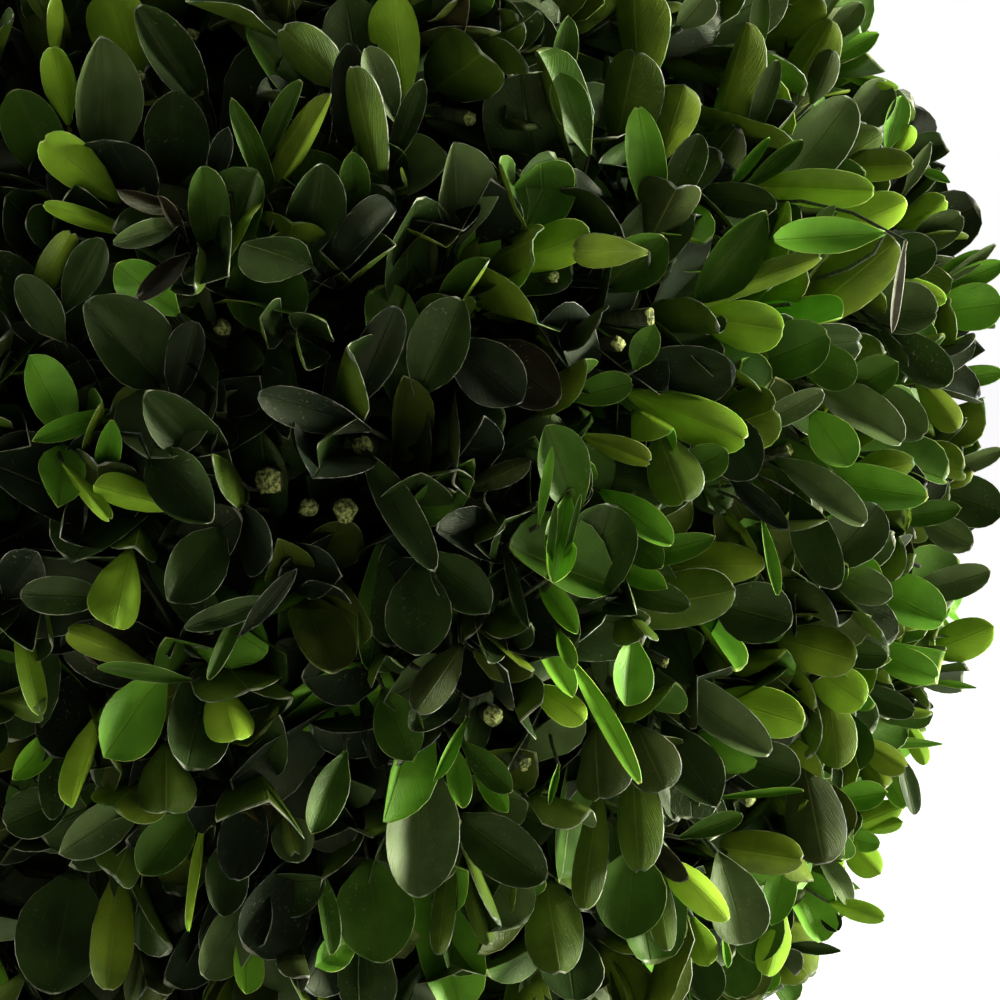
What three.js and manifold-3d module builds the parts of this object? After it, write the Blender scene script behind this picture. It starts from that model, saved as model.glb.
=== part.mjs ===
// A box topiary ball: a small-leaved evergreen shrub clipped round, rooted in the ground by one short trunk.
// Millimetres, +Z up. The origin is the middle of the flat cut under the trunk, at ground level.
import * as THREE from "three";
import { mergeVertices } from "three/addons/utils/BufferGeometryUtils.js";
import Module from "manifold-3d";

const wasm = await Module();
wasm.setup();

// The ball
const CLIP_RADIUS = 148; // the round that the shears follow, where the twigs are cut
const REACH_RADIUS = 162; // the furthest leaf tips
const BALL_HEIGHT = 165; // from the ground to the middle of the ball
const BALL_CENTRE = new THREE.Vector3(0, 0, BALL_HEIGHT);
const GROUND_CLEARANCE = 1.5; // the lowest that a leaf tip hangs over the ground

// The dense mass behind the leaves, and the bare space among the boughs
const CORE_RADIUS = 135;
const CORE_LUMP = 0.035; // how far the core's surface rises and falls, as a share of its radius
const LUMP_WAVES = new THREE.Vector3(70, 79, 63); // the length of its rise and fall along each axis
const CORE_DETAIL = 3;
const HEART_RADIUS = 84;
const HEART_DETAIL = 1;
const HEART_CENTRE = new THREE.Vector3(0, 0, BALL_HEIGHT - 26);
const MASS_GAP = 1; // between two neighbouring masses
const PIECE_GAP = 0.3; // between pieces that meet

// The trunk
const TRUNK_TOP = 134;
const TRUNK_SIDES = 12;
const TRUNK_RINGS = 9;
const TRUNK_FOOT_RADIUS = 11;
const TRUNK_TIP_RADIUS = 7;
const FLARE_REACH = 7; // how much wider the root flare is at the ground
const FLARE_HEIGHT = 9; // the height over which the flare dies away
const FLARE_LOBES = 5;
const FLARE_LOBE_DEPTH = 0.16;
const TRUNK_LEAN = new THREE.Vector2(4, -2.5); // how far the tip stands to one side of the foot
const TRUNK_CHANNEL = 15; // the clear way that the trunk has through the foliage

// The boughs: one leader, and two rings that the trunk sends out at different heights
const BOUGH_RINGS = [
  { name: "leader", count: 1, polar: 0, turn: 0, foot: TRUNK_TOP, footRadius: 5.8 },
  { name: "upper", count: 5, polar: 59, turn: 12, foot: 94, footRadius: 4.5 },
  { name: "lower", count: 5, polar: 114, turn: 48, foot: 62, footRadius: 4.8 },
];
const BOUGH_FOOT_STEP = 4.4; // each bough of a ring leaves the trunk this much above the last
const BOUGH_WANDER = 5; // degrees that a bough may stray from its even place in the ring
const BOUGH_OUTWARD = 1.1; // how far a bough leaves the trunk outwards for each step upwards
const BOUGH_TIP_RADIUS = 3.2;
const BOUGH_SIDES = 7;
const BOUGH_RINGS_ALONG = 6;

// The stem that carries each mass
const STEM_OUT = 8; // how far it stands out of the core, towards the bough
const STEM_SUNK = 22; // how far it runs on inside the core

// Twigs and leaves
const TWIG_COUNT = 112;
const TWIG_ROOT_DEPTH = 9; // how far a twig is sunk in the core
const TWIG_ROOT_RADIUS = 2.6;
const TWIG_TIP_RADIUS = 1.7;
const TWIG_SIDES = 3;
const TWIG_SHIFT = 0.06; // radians that a twig may stray from its even place on the ball
const TWIG_TILT = 0.2; // how far a twig leans off the straight way out
const TWIG_INSET = 7; // how far a twig stays from its mass's edge
const INSET_STEPS = 20; // how often a twig too near the edge is moved inwards, each time by this share:
const INSET_SHARE = 0.06;
const LEAF_PAIRS = [
  { back: 13, spread: 66, length: 33, width: 21 },
  { back: 4, spread: 46, length: 25, width: 17 },
];
const LEAF_THICKNESS = 1.5;
const LEAF_WAIST = 0.6; // where along its length a leaf is widest
const LEAF_SUNK = 1.4; // how far a leaf's root runs on past the middle of its twig
const LEAF_FOLDS = [1, 0.72, 0.45, 1.3, 0.2]; // a leaf that won't fit leans in or out, by these shares

const GOLDEN_TURN = Math.PI * (3 - Math.sqrt(5));
const WELD = 1e-3;
const SIMPLIFY = 0.05;
const LEAF_TURNS = [0, 0.04, -0.04, 0.08, -0.08, 0.12]; // tried until no two leaves only just touch
const CORNER_GRID = 1e-4; // two corners closer than this count as one

const UP = new THREE.Vector3(0, 0, 1);

const bark = new THREE.MeshStandardMaterial({ color: 0x8a7a5c, roughness: 0.9, metalness: 0 });
const foliage = new THREE.MeshStandardMaterial({ color: 0x35521c, roughness: 0.5, metalness: 0 });

// A repeatable number from 0 to 1 for a list of whole numbers, each mixed in by a xor and a multiplication.
function chance(...keys) {
  let mixed = 374761393;
  for (const key of keys) {
    mixed = Math.imul(mixed ^ key, 2654435761);
    mixed ^= mixed >>> 15;
  }
  mixed = Math.imul(mixed, 2246822519);
  mixed ^= mixed >>> 13;
  return (mixed >>> 0) / 4294967296;
}

// The same, spread evenly either side of nought, up to the given size.
function stray(size, ...keys) {
  return (2 * chance(...keys) - 1) * size;
}

function solidOf(geometry) {
  const bare = geometry.clone();
  bare.deleteAttribute("normal");
  bare.deleteAttribute("uv");
  const welded = mergeVertices(bare, WELD);
  return new wasm.Manifold(
    new wasm.Mesh({
      numProp: 3,
      vertProperties: new Float32Array(welded.attributes.position.array),
      triVerts: new Uint32Array(welded.index.array),
    }),
  );
}

function geometryOf(solid) {
  const mesh = solid.getMesh();
  const geometry = new THREE.BufferGeometry();
  geometry.setAttribute("position", new THREE.BufferAttribute(mesh.vertProperties, 3));
  geometry.setIndex(new THREE.BufferAttribute(mesh.triVerts, 1));
  geometry.computeVertexNormals();
  return geometry;
}

function welded(solid) {
  return solidOf(geometryOf(solid));
}

// Keeps the biggest body, so that a scrap cut off by a neighbour is dropped.
function biggest(solid) {
  return solid.decompose().reduce((most, body) => (body.volume() > most.volume() ? body : most));
}

// Whether each edge joins just two faces, once corners that nearly coincide count as one.
function isWhole(solid) {
  const mesh = solid.getMesh();
  const onGrid = (value) => Math.round(value / CORNER_GRID);
  const corner = (i) => Array.from(mesh.vertProperties.subarray(i * 3, i * 3 + 3), onGrid).join();
  const uses = new Map();
  for (let i = 0; i < mesh.triVerts.length; i += 3) {
    const corners = [0, 1, 2].map((n) => corner(mesh.triVerts[i + n]));
    if (new Set(corners).size < 3) continue;
    for (const n of [0, 1, 2]) {
      const edge = [corners[n], corners[(n + 1) % 3]].sort().join(" ");
      uses.set(edge, (uses.get(edge) ?? 0) + 1);
    }
  }
  return [...uses.values()].every((count) => count === 2);
}

// A direction from the ball's middle, from its angle off the vertical and its turn about it, in degrees.
function direction(polar, turn) {
  return new THREE.Vector3().setFromSphericalCoords(
    1,
    THREE.MathUtils.degToRad(polar),
    THREE.MathUtils.degToRad(turn),
  ).applyAxisAngle(new THREE.Vector3(1, 0, 0), Math.PI / 2);
}

// The trunk: level rings round a leaning centre line, with a lobed root flare at the foot.
function trunkGeometry(grow = 0) {
  const geometry = new THREE.CylinderGeometry(1, 1, TRUNK_TOP, TRUNK_SIDES, TRUNK_RINGS);
  geometry.rotateX(Math.PI / 2).translate(0, 0, TRUNK_TOP / 2);
  const position = geometry.attributes.position;
  for (let i = 0; i < position.count; i += 1) {
    const height = position.getZ(i);
    const share = height / TRUNK_TOP;
    const around = Math.atan2(position.getY(i), position.getX(i));
    const flare = Math.exp(-height / FLARE_HEIGHT);
    const lobe = 1 + FLARE_LOBE_DEPTH * flare * Math.cos(FLARE_LOBES * around);
    const stem = THREE.MathUtils.lerp(TRUNK_FOOT_RADIUS, TRUNK_TIP_RADIUS, share);
    const radius = (stem + FLARE_REACH * flare) * lobe + grow;
    const lean = share * share;
    position.setXY(
      i,
      position.getX(i) * radius + TRUNK_LEAN.x * lean,
      position.getY(i) * radius + TRUNK_LEAN.y * lean,
    );
  }
  return geometry;
}

function trunkCentre(height) {
  const lean = (height / TRUNK_TOP) ** 2;
  return new THREE.Vector3(TRUNK_LEAN.x * lean, TRUNK_LEAN.y * lean, height);
}

// A limb: a cylinder whose rings are moved on to a curve, tapering evenly from its foot to its tip.
function limbGeometry(curve, footRadius, tipRadius, sides, rings) {
  const geometry = new THREE.CylinderGeometry(1, 1, 1, sides, rings);
  const frames = curve.computeFrenetFrames(rings, false);
  const position = geometry.attributes.position;
  for (let i = 0; i < position.count; i += 1) {
    const share = position.getY(i) + 0.5;
    const ring = Math.round(share * rings);
    const radius = THREE.MathUtils.lerp(footRadius, tipRadius, share);
    const point = curve
      .getPointAt(share)
      .addScaledVector(frames.normals[ring], position.getX(i) * radius)
      .addScaledVector(frames.binormals[ring], -position.getZ(i) * radius);
    position.setXYZ(i, point.x, point.y, point.z);
  }
  return geometry;
}

// How far from the ball's middle the bare space ends on the way out along a direction.
function heartDistance(way) {
  const offset = BALL_CENTRE.clone().sub(HEART_CENTRE);
  const along = way.dot(offset);
  return -along + Math.sqrt(along * along - offset.lengthSq() + HEART_RADIUS * HEART_RADIUS);
}

function onWay(way, distance) {
  return BALL_CENTRE.clone().addScaledVector(way, distance);
}

// One bough for each mass, with the way out that both follow.
function listBoughs() {
  const boughs = [];
  BOUGH_RINGS.forEach((ring, level) => {
    for (let n = 0; n < ring.count; n += 1) {
      const wander = ring.polar ? BOUGH_WANDER : 0;
      const polar = ring.polar + stray(wander, level, n, 1);
      const turn = ring.turn + (360 * n) / ring.count + stray(wander, level, n, 2);
      boughs.push({
        name: ring.count > 1 ? `${ring.name}_${n + 1}` : ring.name,
        way: direction(polar, turn),
        footHeight: ring.foot + (ring.count > 1 ? ((n * 2) % ring.count) * BOUGH_FOOT_STEP : 0),
        footRadius: ring.footRadius,
      });
    }
  });
  return boughs;
}

function boughSolid(bough, trunkCutter) {
  const tip = onWay(bough.way, heartDistance(bough.way) - STEM_OUT - PIECE_GAP);
  const isLeader = bough.footHeight >= TRUNK_TOP;
  const foot = trunkCentre(isLeader ? TRUNK_TOP + PIECE_GAP : bough.footHeight);
  const outward = new THREE.Vector3(bough.way.x, bough.way.y, 0);
  const rise = outward.normalize().multiplyScalar(isLeader ? 0 : BOUGH_OUTWARD).add(UP);
  const reach = foot.distanceTo(tip) / 3;
  const curve = new THREE.CubicBezierCurve3(
    foot,
    foot.clone().addScaledVector(rise.normalize(), reach),
    tip.clone().addScaledVector(bough.way, -reach),
    tip,
  );
  const limb = solidOf(
    limbGeometry(curve, bough.footRadius, BOUGH_TIP_RADIUS, BOUGH_SIDES, BOUGH_RINGS_ALONG),
  );
  return isLeader ? limb : biggest(limb.subtract(trunkCutter));
}

// The planes that part one mass from each of its neighbours: a mass takes the ball's part nearest its bough.
function edgesOf(bough, boughs) {
  return boughs
    .filter((other) => other !== bough)
    .map((other) => bough.way.clone().sub(other.way).normalize());
}

// How far inside its mass's own space a point is. It is negative outside.
function insideBy(point, edges) {
  const from = point.clone().sub(BALL_CENTRE);
  return Math.min(...edges.map((edge) => edge.dot(from)));
}

function lumpyBall(radius, detail, centre, lump) {
  const geometry = new THREE.IcosahedronGeometry(radius, detail);
  const position = geometry.attributes.position;
  const point = new THREE.Vector3();
  for (let i = 0; i < position.count; i += 1) {
    point.fromBufferAttribute(position, i);
    const phase = point.clone().divide(LUMP_WAVES).multiplyScalar(2 * Math.PI);
    const wave = (Math.sin(phase.x) * Math.cos(phase.y) + Math.sin(phase.z + phase.x)) / 2;
    point.multiplyScalar(1 + lump * wave).add(centre);
    position.setXYZ(i, point.x, point.y, point.z);
  }
  return solidOf(geometry);
}

// The dense shell behind the leaves, hollow where the boughs run and clear of the trunk.
function shellSolid() {
  const channel = new THREE.CylinderGeometry(
    TRUNK_CHANNEL,
    TRUNK_CHANNEL,
    BALL_HEIGHT,
    TRUNK_SIDES,
  ).rotateX(Math.PI / 2);
  return lumpyBall(CORE_RADIUS, CORE_DETAIL, BALL_CENTRE, CORE_LUMP)
    .subtract(lumpyBall(HEART_RADIUS, HEART_DETAIL, HEART_CENTRE, 0))
    .subtract(solidOf(channel));
}

function coreSolid(shell, edges) {
  return edges.reduce(
    (left, edge) =>
      left.trimByPlane(edge.toArray(), edge.dot(BALL_CENTRE) + MASS_GAP / 2),
    shell,
  );
}

function straightRod(from, to, fromRadius, toRadius, sides) {
  const span = to.clone().sub(from);
  const geometry = new THREE.CylinderGeometry(toRadius, fromRadius, span.length(), sides);
  const turn = new THREE.Quaternion().setFromUnitVectors(
    new THREE.Vector3(0, 1, 0),
    span.normalize(),
  );
  return geometry.applyQuaternion(turn).translate(
    (from.x + to.x) / 2,
    (from.y + to.y) / 2,
    (from.z + to.z) / 2,
  );
}

function stemSolid(bough) {
  const start = heartDistance(bough.way) - STEM_OUT;
  return solidOf(
    straightRod(
      onWay(bough.way, start),
      onWay(bough.way, start + STEM_OUT + STEM_SUNK),
      BOUGH_TIP_RADIUS,
      BOUGH_TIP_RADIUS,
      BOUGH_SIDES,
    ),
  );
}

// A leaf of eight faces, from its root at the origin along +Y, widest past its middle, its face to +Z.
function leafGeometry(length, width) {
  const geometry = new THREE.OctahedronGeometry(1, 0);
  geometry.scale(width / 2, length / 2, LEAF_THICKNESS / 2).translate(0, length / 2, 0);
  const position = geometry.attributes.position;
  for (let i = 0; i < position.count; i += 1) {
    const isWaist = Math.abs(position.getY(i) - length / 2) < WELD;
    if (isWaist) position.setY(i, length * LEAF_WAIST);
  }
  return geometry;
}

// Twig ends are dealt evenly over the ball by the golden angle, and each goes to the nearest bough.
function listTwigs(boughs) {
  const twigs = [];
  for (let k = 0; k < TWIG_COUNT; k += 1) {
    const height = 1 - (2 * (k + 0.5)) / TWIG_COUNT;
    const flat = Math.sqrt(1 - height * height);
    const turn = k * GOLDEN_TURN + stray(TWIG_SHIFT, k, 3);
    const way = new THREE.Vector3(flat * Math.cos(turn), flat * Math.sin(turn), height);
    const owner = boughs.reduce((near, one) => (one.way.dot(way) > near.way.dot(way) ? one : near));
    twigs.push({ index: k, way, owner });
  }
  return twigs;
}

// Moves a twig's way towards its mass's middle until it stands far enough inside the mass's edge.
function settle(way, owner, edges) {
  const settled = way.clone();
  for (let step = 0; step < INSET_STEPS; step += 1) {
    if (insideBy(onWay(settled, CLIP_RADIUS), edges) >= TWIG_INSET) break;
    settled.lerp(owner.way, INSET_SHARE).normalize();
  }
  return settled;
}

function fits(geometry, edges) {
  const position = geometry.attributes.position;
  const point = new THREE.Vector3();
  for (let i = 0; i < position.count; i += 1) {
    point.fromBufferAttribute(position, i);
    const besideTrunk = point.z < BALL_HEIGHT && Math.hypot(point.x, point.y) < TRUNK_CHANNEL;
    if (
      besideTrunk ||
      point.z < GROUND_CLEARANCE ||
      point.distanceTo(BALL_CENTRE) > REACH_RADIUS ||
      insideBy(point, edges) < MASS_GAP / 2
    )
      return false;
  }
  return true;
}

// One leaf, placed on a twig: it leans off the twig by its spread, with its face turned to the twig's tip.
function placedLeaf(pair, root, twigWay, side, fold) {
  const spread = THREE.MathUtils.degToRad(pair.spread * fold);
  const along = twigWay
    .clone()
    .multiplyScalar(Math.cos(spread))
    .addScaledVector(side, Math.sin(spread));
  const face = twigWay
    .clone()
    .multiplyScalar(Math.sin(spread))
    .addScaledVector(side, -Math.cos(spread));
  const across = along.clone().cross(face);
  const base = root.clone().addScaledVector(along, -LEAF_SUNK);
  const place = new THREE.Matrix4().makeBasis(across, along, face).setPosition(base);
  return leafGeometry(pair.length, pair.width).applyMatrix4(place);
}

// A twig and its leaves, which stand in pairs, each pair crosswise to the last.
function twigSolids(twig, edges, leafTurn) {
  const way = settle(twig.way, twig.owner, edges);
  const end = onWay(way, CLIP_RADIUS);
  const lean = new THREE.Vector3(
    stray(TWIG_TILT, twig.index, 4),
    stray(TWIG_TILT, twig.index, 5),
    stray(TWIG_TILT, twig.index, 6),
  );
  const twigWay = way.clone().add(lean).normalize();
  const length = CLIP_RADIUS - CORE_RADIUS + TWIG_ROOT_DEPTH;
  const root = end.clone().addScaledVector(twigWay, -length);
  const rod = straightRod(root, end, TWIG_ROOT_RADIUS, TWIG_TIP_RADIUS, TWIG_SIDES);
  if (!fits(rod, edges)) return [];
  const solids = [solidOf(rod)];
  const crosswise = new THREE.Vector3()
    .crossVectors(twigWay, Math.abs(twigWay.z) < 0.9 ? UP : new THREE.Vector3(1, 0, 0))
    .applyAxisAngle(twigWay, chance(twig.index, 7) * Math.PI + leafTurn)
    .normalize();
  LEAF_PAIRS.forEach((pair, p) => {
    for (const half of [0, 1]) {
      const side = crosswise.clone().applyAxisAngle(twigWay, (p / 2 + half) * Math.PI);
      const leafRoot = end.clone().addScaledVector(twigWay, -pair.back);
      const leaf = LEAF_FOLDS.map((fold) => placedLeaf(pair, leafRoot, twigWay, side, fold)).find(
        (tried) => fits(tried, edges),
      );
      if (leaf) solids.push(solidOf(leaf));
    }
  });
  return solids;
}

function massSolid(bough, boughs, twigs, shell) {
  const edges = edgesOf(bough, boughs);
  const own = twigs.filter((twig) => twig.owner === bough);
  const bare = [coreSolid(shell, edges), stemSolid(bough)];
  for (const leafTurn of LEAF_TURNS) {
    const pieces = own.flatMap((twig) => twigSolids(twig, edges, leafTurn));
    const fused = wasm.Manifold.union([...bare, ...pieces]).simplify(SIMPLIFY);
    const mass = biggest(welded(biggest(fused)));
    if (isWhole(mass)) return mass;
  }
  throw new Error(`the leaves of ${bough.name} touch along an edge at every turn`);
}

function addNode(group, name, solid, material) {
  const mesh = new THREE.Mesh(geometryOf(solid), material);
  mesh.name = name;
  group.add(mesh);
}

function buildBall() {
  const group = new THREE.Group();
  const boughs = listBoughs();
  const twigs = listTwigs(boughs);
  const trunkCutter = solidOf(trunkGeometry(PIECE_GAP));
  const shell = shellSolid();
  addNode(group, "trunk", solidOf(trunkGeometry()), bark);
  boughs.forEach((bough) => {
    addNode(group, `bough_${bough.name}`, boughSolid(bough, trunkCutter), bark);
    addNode(group, `foliage_${bough.name}`, massSolid(bough, boughs, twigs, shell), foliage);
  });
  return group;
}

export default buildBall();
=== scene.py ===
"""The looks of a box topiary ball: leathery leaves in pairs on clipped shoots, on twigs, boughs and a trunk.

Everything is in metres, in the frame's own axes: +Z is up, the origin is the middle of the flat cut under
the trunk, and the camera stands on the side of -Y. The boughs and the main twigs follow the rule of the
solids they stand for. Finer shoots grow on from them, and the leaves sit on those.
"""
import logging
from dataclasses import dataclass, field
from enum import Enum

import bpy
import numpy as np
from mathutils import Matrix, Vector


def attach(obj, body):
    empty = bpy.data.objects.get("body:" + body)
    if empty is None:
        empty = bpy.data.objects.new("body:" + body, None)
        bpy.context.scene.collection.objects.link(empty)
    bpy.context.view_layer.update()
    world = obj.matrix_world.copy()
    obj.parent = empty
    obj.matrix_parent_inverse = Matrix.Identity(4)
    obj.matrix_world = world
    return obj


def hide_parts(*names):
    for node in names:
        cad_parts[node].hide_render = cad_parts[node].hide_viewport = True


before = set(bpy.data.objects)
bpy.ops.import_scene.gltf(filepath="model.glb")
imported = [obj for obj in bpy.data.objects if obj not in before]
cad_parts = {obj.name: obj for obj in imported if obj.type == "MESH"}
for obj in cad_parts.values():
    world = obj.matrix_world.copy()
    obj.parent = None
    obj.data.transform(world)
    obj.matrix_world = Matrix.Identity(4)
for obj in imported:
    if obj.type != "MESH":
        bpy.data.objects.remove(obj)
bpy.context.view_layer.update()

LOG = logging.getLogger("box_ball")
MM = 0.001
UP = np.array([0.0, 0.0, 1.0])
GOLDEN_TURN = np.pi * (3 - np.sqrt(5))
HASH_START = 374761393
HASH_STEP = 2654435761
HASH_END = 2246822519


def linear_colour(hex_code: str) -> tuple[float, float, float, float]:
    """Turn an sRGB hex code into a linear colour: each channel goes through the sRGB curve, undone.

    Args:
        hex_code: Six hex digits after a hash sign.

    Returns:
        Red, green, blue and an alpha of one.
    """
    codes = np.array([int(hex_code[i:i + 2], 16) / 255 for i in (1, 3, 5)])
    channels = np.where(codes <= 0.04045, codes / 12.92, ((codes + 0.055) / 1.055) ** 2.4)
    return (*map(float, channels), 1.0)


def chance(*keys: np.ndarray | int) -> np.ndarray:
    """Give the solids' own repeatable numbers from 0 to 1: a xor and a multiplication mix in each key.

    Args:
        keys: Whole numbers, or arrays of them, that name the draw.

    Returns:
        One number for each entry of the keys.
    """
    mixed = np.full(np.broadcast(*keys, np.zeros(1)).shape, HASH_START, np.uint32)
    for key in keys:
        mixed = (mixed ^ np.asarray(key, np.uint32)) * np.uint32(HASH_STEP)
        mixed = mixed ^ (mixed >> np.uint32(15))
    mixed = mixed * np.uint32(HASH_END)
    mixed = mixed ^ (mixed >> np.uint32(13))
    return mixed / 2.0**32


def stray(size: float, *keys: np.ndarray | int) -> np.ndarray:
    """Spread the same numbers evenly either side of nought, up to the given size."""
    return (2 * chance(*keys) - 1) * size


def unit(vectors: np.ndarray) -> np.ndarray:
    """Scale vectors along the last axis to a length of one."""
    return vectors / np.maximum(np.linalg.norm(vectors, axis=-1, keepdims=True), 1e-12)


def turned(vectors: np.ndarray, axes: np.ndarray, angles: np.ndarray) -> np.ndarray:
    """Turn vectors about unit axes: v cos a + (axis x v) sin a + axis (axis . v)(1 - cos a).

    Args:
        vectors: Vectors, one to a row.
        axes: Unit axes, one to a row.
        angles: Radians, one to a row.

    Returns:
        The turned vectors.
    """
    cosine, sine = np.cos(angles)[:, None], np.sin(angles)[:, None]
    along = np.sum(axes * vectors, axis=1, keepdims=True)
    return vectors * cosine + np.cross(axes, vectors) * sine + axes * along * (1 - cosine)


def crosswise(ways: np.ndarray) -> np.ndarray:
    """Give each direction another at right angles to it and to +Z, or to X where it is nearly upright."""
    steep = np.abs(ways[:, 2:]) > 0.9
    return unit(np.cross(ways, np.where(steep, [1.0, 0.0, 0.0], UP)))


def even_ways(count: int, shift: np.ndarray | float) -> np.ndarray:
    """Spread directions evenly over a ball: at even steps of height, each a golden angle on from the last.

    Args:
        count: How many directions.
        shift: What is added to the turn of each, in radians.

    Returns:
        The directions, from the top down.
    """
    k = np.arange(count)
    height = 1 - 2 * (k + 0.5) / count
    turn = k * GOLDEN_TURN + shift
    flat = np.sqrt(1 - height**2)
    return np.stack([flat * np.cos(turn), flat * np.sin(turn), height], axis=1)


def put(name: str, data: bpy.types.ID) -> bpy.types.Object:
    """Put an object with this data into the scene, at the origin.

    Args:
        name: Its name.
        data: Its mesh, lamp or camera.

    Returns:
        The new object.
    """
    piece = bpy.data.objects.new(name, data)
    bpy.context.scene.collection.objects.link(piece)
    return piece


@dataclass
class Surface:
    """Points and the faces between them, with a finish for each face and a map for each corner."""

    points: np.ndarray
    corners: np.ndarray
    sizes: np.ndarray
    finishes: np.ndarray
    maps: np.ndarray

    @property
    def triangles(self) -> int:
        """Count the triangles that the faces come to."""
        return int(np.sum(self.sizes - 2))

    @staticmethod
    def joined(parts: list["Surface"]) -> "Surface":
        """Join surfaces into one, each keeping its own points.

        Args:
            parts: The surfaces.

        Returns:
            One surface.
        """
        starts = np.cumsum([0] + [len(part.points) for part in parts[:-1]])
        return Surface(
            np.concatenate([part.points for part in parts]),
            np.concatenate([part.corners + start for part, start in zip(parts, starts)]),
            np.concatenate([part.sizes for part in parts]),
            np.concatenate([part.finishes for part in parts]),
            np.concatenate([part.maps for part in parts]),
        )

    def make(self, name: str, materials: list[bpy.types.Material]) -> bpy.types.Object:
        """Put the surface into the scene as one smooth mesh object at the origin.

        Args:
            name: The piece's name.
            materials: The materials that the finishes number.

        Returns:
            The new object.
        """
        mesh = bpy.data.meshes.new(name)
        mesh.vertices.add(len(self.points))
        mesh.vertices.foreach_set("co", self.points.astype(np.float32).ravel())
        mesh.loops.add(len(self.corners))
        mesh.loops.foreach_set("vertex_index", self.corners.astype(np.int32))
        mesh.polygons.add(len(self.sizes))
        starts = np.concatenate([[0], np.cumsum(self.sizes)[:-1]])
        mesh.polygons.foreach_set("loop_start", starts.astype(np.int32))
        mesh.polygons.foreach_set("material_index", self.finishes.astype(np.int32))
        mesh.polygons.foreach_set("use_smooth", np.ones(len(self.sizes), bool))
        layer = mesh.uv_layers.new(name="Blade")
        layer.uv.foreach_set("vector", self.maps.astype(np.float32).ravel())
        mesh.update(calc_edges=True)
        mesh.validate()
        for material in materials:
            mesh.materials.append(material)
        return put(name, mesh)


def tubes(paths: np.ndarray, radii: np.ndarray, sides: int, dome: float = 0.0) -> Surface:
    """Carry a round section along many paths at once, each closed at both ends by a fan.

    A ring's point is the path's point plus radius times (cos a across + sin a beside), where across and
    beside are at right angles to the path there. The far end's middle stands out by the dome's share of the
    radius.

    Args:
        paths: Points of each path, as paths x points x 3.
        radii: The radius at each of those points.
        sides: Points round a ring.
        dome: How far the far end is domed, as a share of its radius.

    Returns:
        The tubes as one surface, with finish 0 on the sides and 1 on the far end.
    """
    count, rings = radii.shape
    tangents = unit(np.gradient(paths, axis=1))
    level = crosswise(unit(paths[:, -1] - paths[:, 0]))[:, None]
    across = unit(level - np.sum(level * tangents, axis=2, keepdims=True) * tangents)
    beside = np.cross(tangents, across)
    turn = np.arange(sides) * 2 * np.pi / sides
    ring = np.cos(turn)[:, None] * across[:, :, None] + np.sin(turn)[:, None] * beside[:, :, None]
    walls = paths[:, :, None] + ring * radii[:, :, None, None]
    ends = paths[:, [0, -1]].copy()
    ends[:, 1] += tangents[:, -1] * radii[:, -1:] * dome
    points = np.concatenate([walls.reshape(count, -1, 3), ends], axis=1)
    here = np.arange(rings - 1)[:, None] * sides + np.arange(sides)
    after = np.arange(rings - 1)[:, None] * sides + (np.arange(sides) + 1) % sides
    quads = np.stack([here, after, after + sides, here + sides], axis=-1).reshape(-1, 4)
    first, second = np.arange(sides), (np.arange(sides) + 1) % sides
    last = (rings - 1) * sides
    foot = np.stack([second, first, np.full(sides, rings * sides)], axis=-1)
    tip = np.stack([first + last, second + last, np.full(sides, rings * sides + 1)], axis=-1)
    pattern = np.concatenate([quads.ravel(), foot.ravel(), tip.ravel()])
    sizes = np.concatenate([np.full(len(quads), 4), np.full(2 * sides, 3)])
    finishes = np.concatenate([np.zeros(len(quads) + sides, int), np.ones(sides, int)])
    offsets = np.arange(count)[:, None] * points.shape[1]
    return Surface(
        points.reshape(-1, 3),
        (pattern + offsets).ravel(),
        np.tile(sizes, count),
        np.tile(finishes, count),
        np.zeros((count * len(pattern), 2)),
    )


def bezier(controls: list[np.ndarray], steps: int) -> np.ndarray:
    """Sample many Bezier curves at even steps, by weighting their control points in pairs again and again.

    Args:
        controls: The control points, each curves x 3.
        steps: Points along each curve.

    Returns:
        Points as curves x steps x 3.
    """
    share = np.linspace(0, 1, steps)[None, :, None]
    level = [np.repeat(control[:, None], steps, axis=1) for control in controls]
    while len(level) > 1:
        level = [a * (1 - share) + b * share for a, b in zip(level, level[1:])]
    return level[0]


def add_node(
    tree: bpy.types.NodeTree, kind: str, inputs: dict, output: int | str = 0, **settings: object
) -> bpy.types.NodeSocket:
    """Add one shader node.

    Args:
        tree: The tree that takes it.
        kind: The node's type.
        inputs: What each input gets, by its name or number: a socket that is linked to it, or a value.
        output: The name or number of the output to give back.
        settings: The node's own properties.

    Returns:
        That output socket.
    """
    node = tree.nodes.new(kind)
    for name, value in settings.items():
        setattr(node, name, value)
    for name, value in inputs.items():
        if isinstance(value, bpy.types.NodeSocket):
            tree.links.new(value, node.inputs[name])
        else:
            node.inputs[name].default_value = value
    return node.outputs[output] if node.outputs else None


def bare_material(name: str) -> tuple[bpy.types.Material, bpy.types.NodeTree, bpy.types.Node]:
    """Start a material that has one principled shader.

    Args:
        name: The material's name.

    Returns:
        The material, its tree and that shader.
    """
    material = bpy.data.materials.new(name)
    material.use_nodes = True
    tree = material.node_tree
    return material, tree, tree.nodes["Principled BSDF"]


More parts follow.
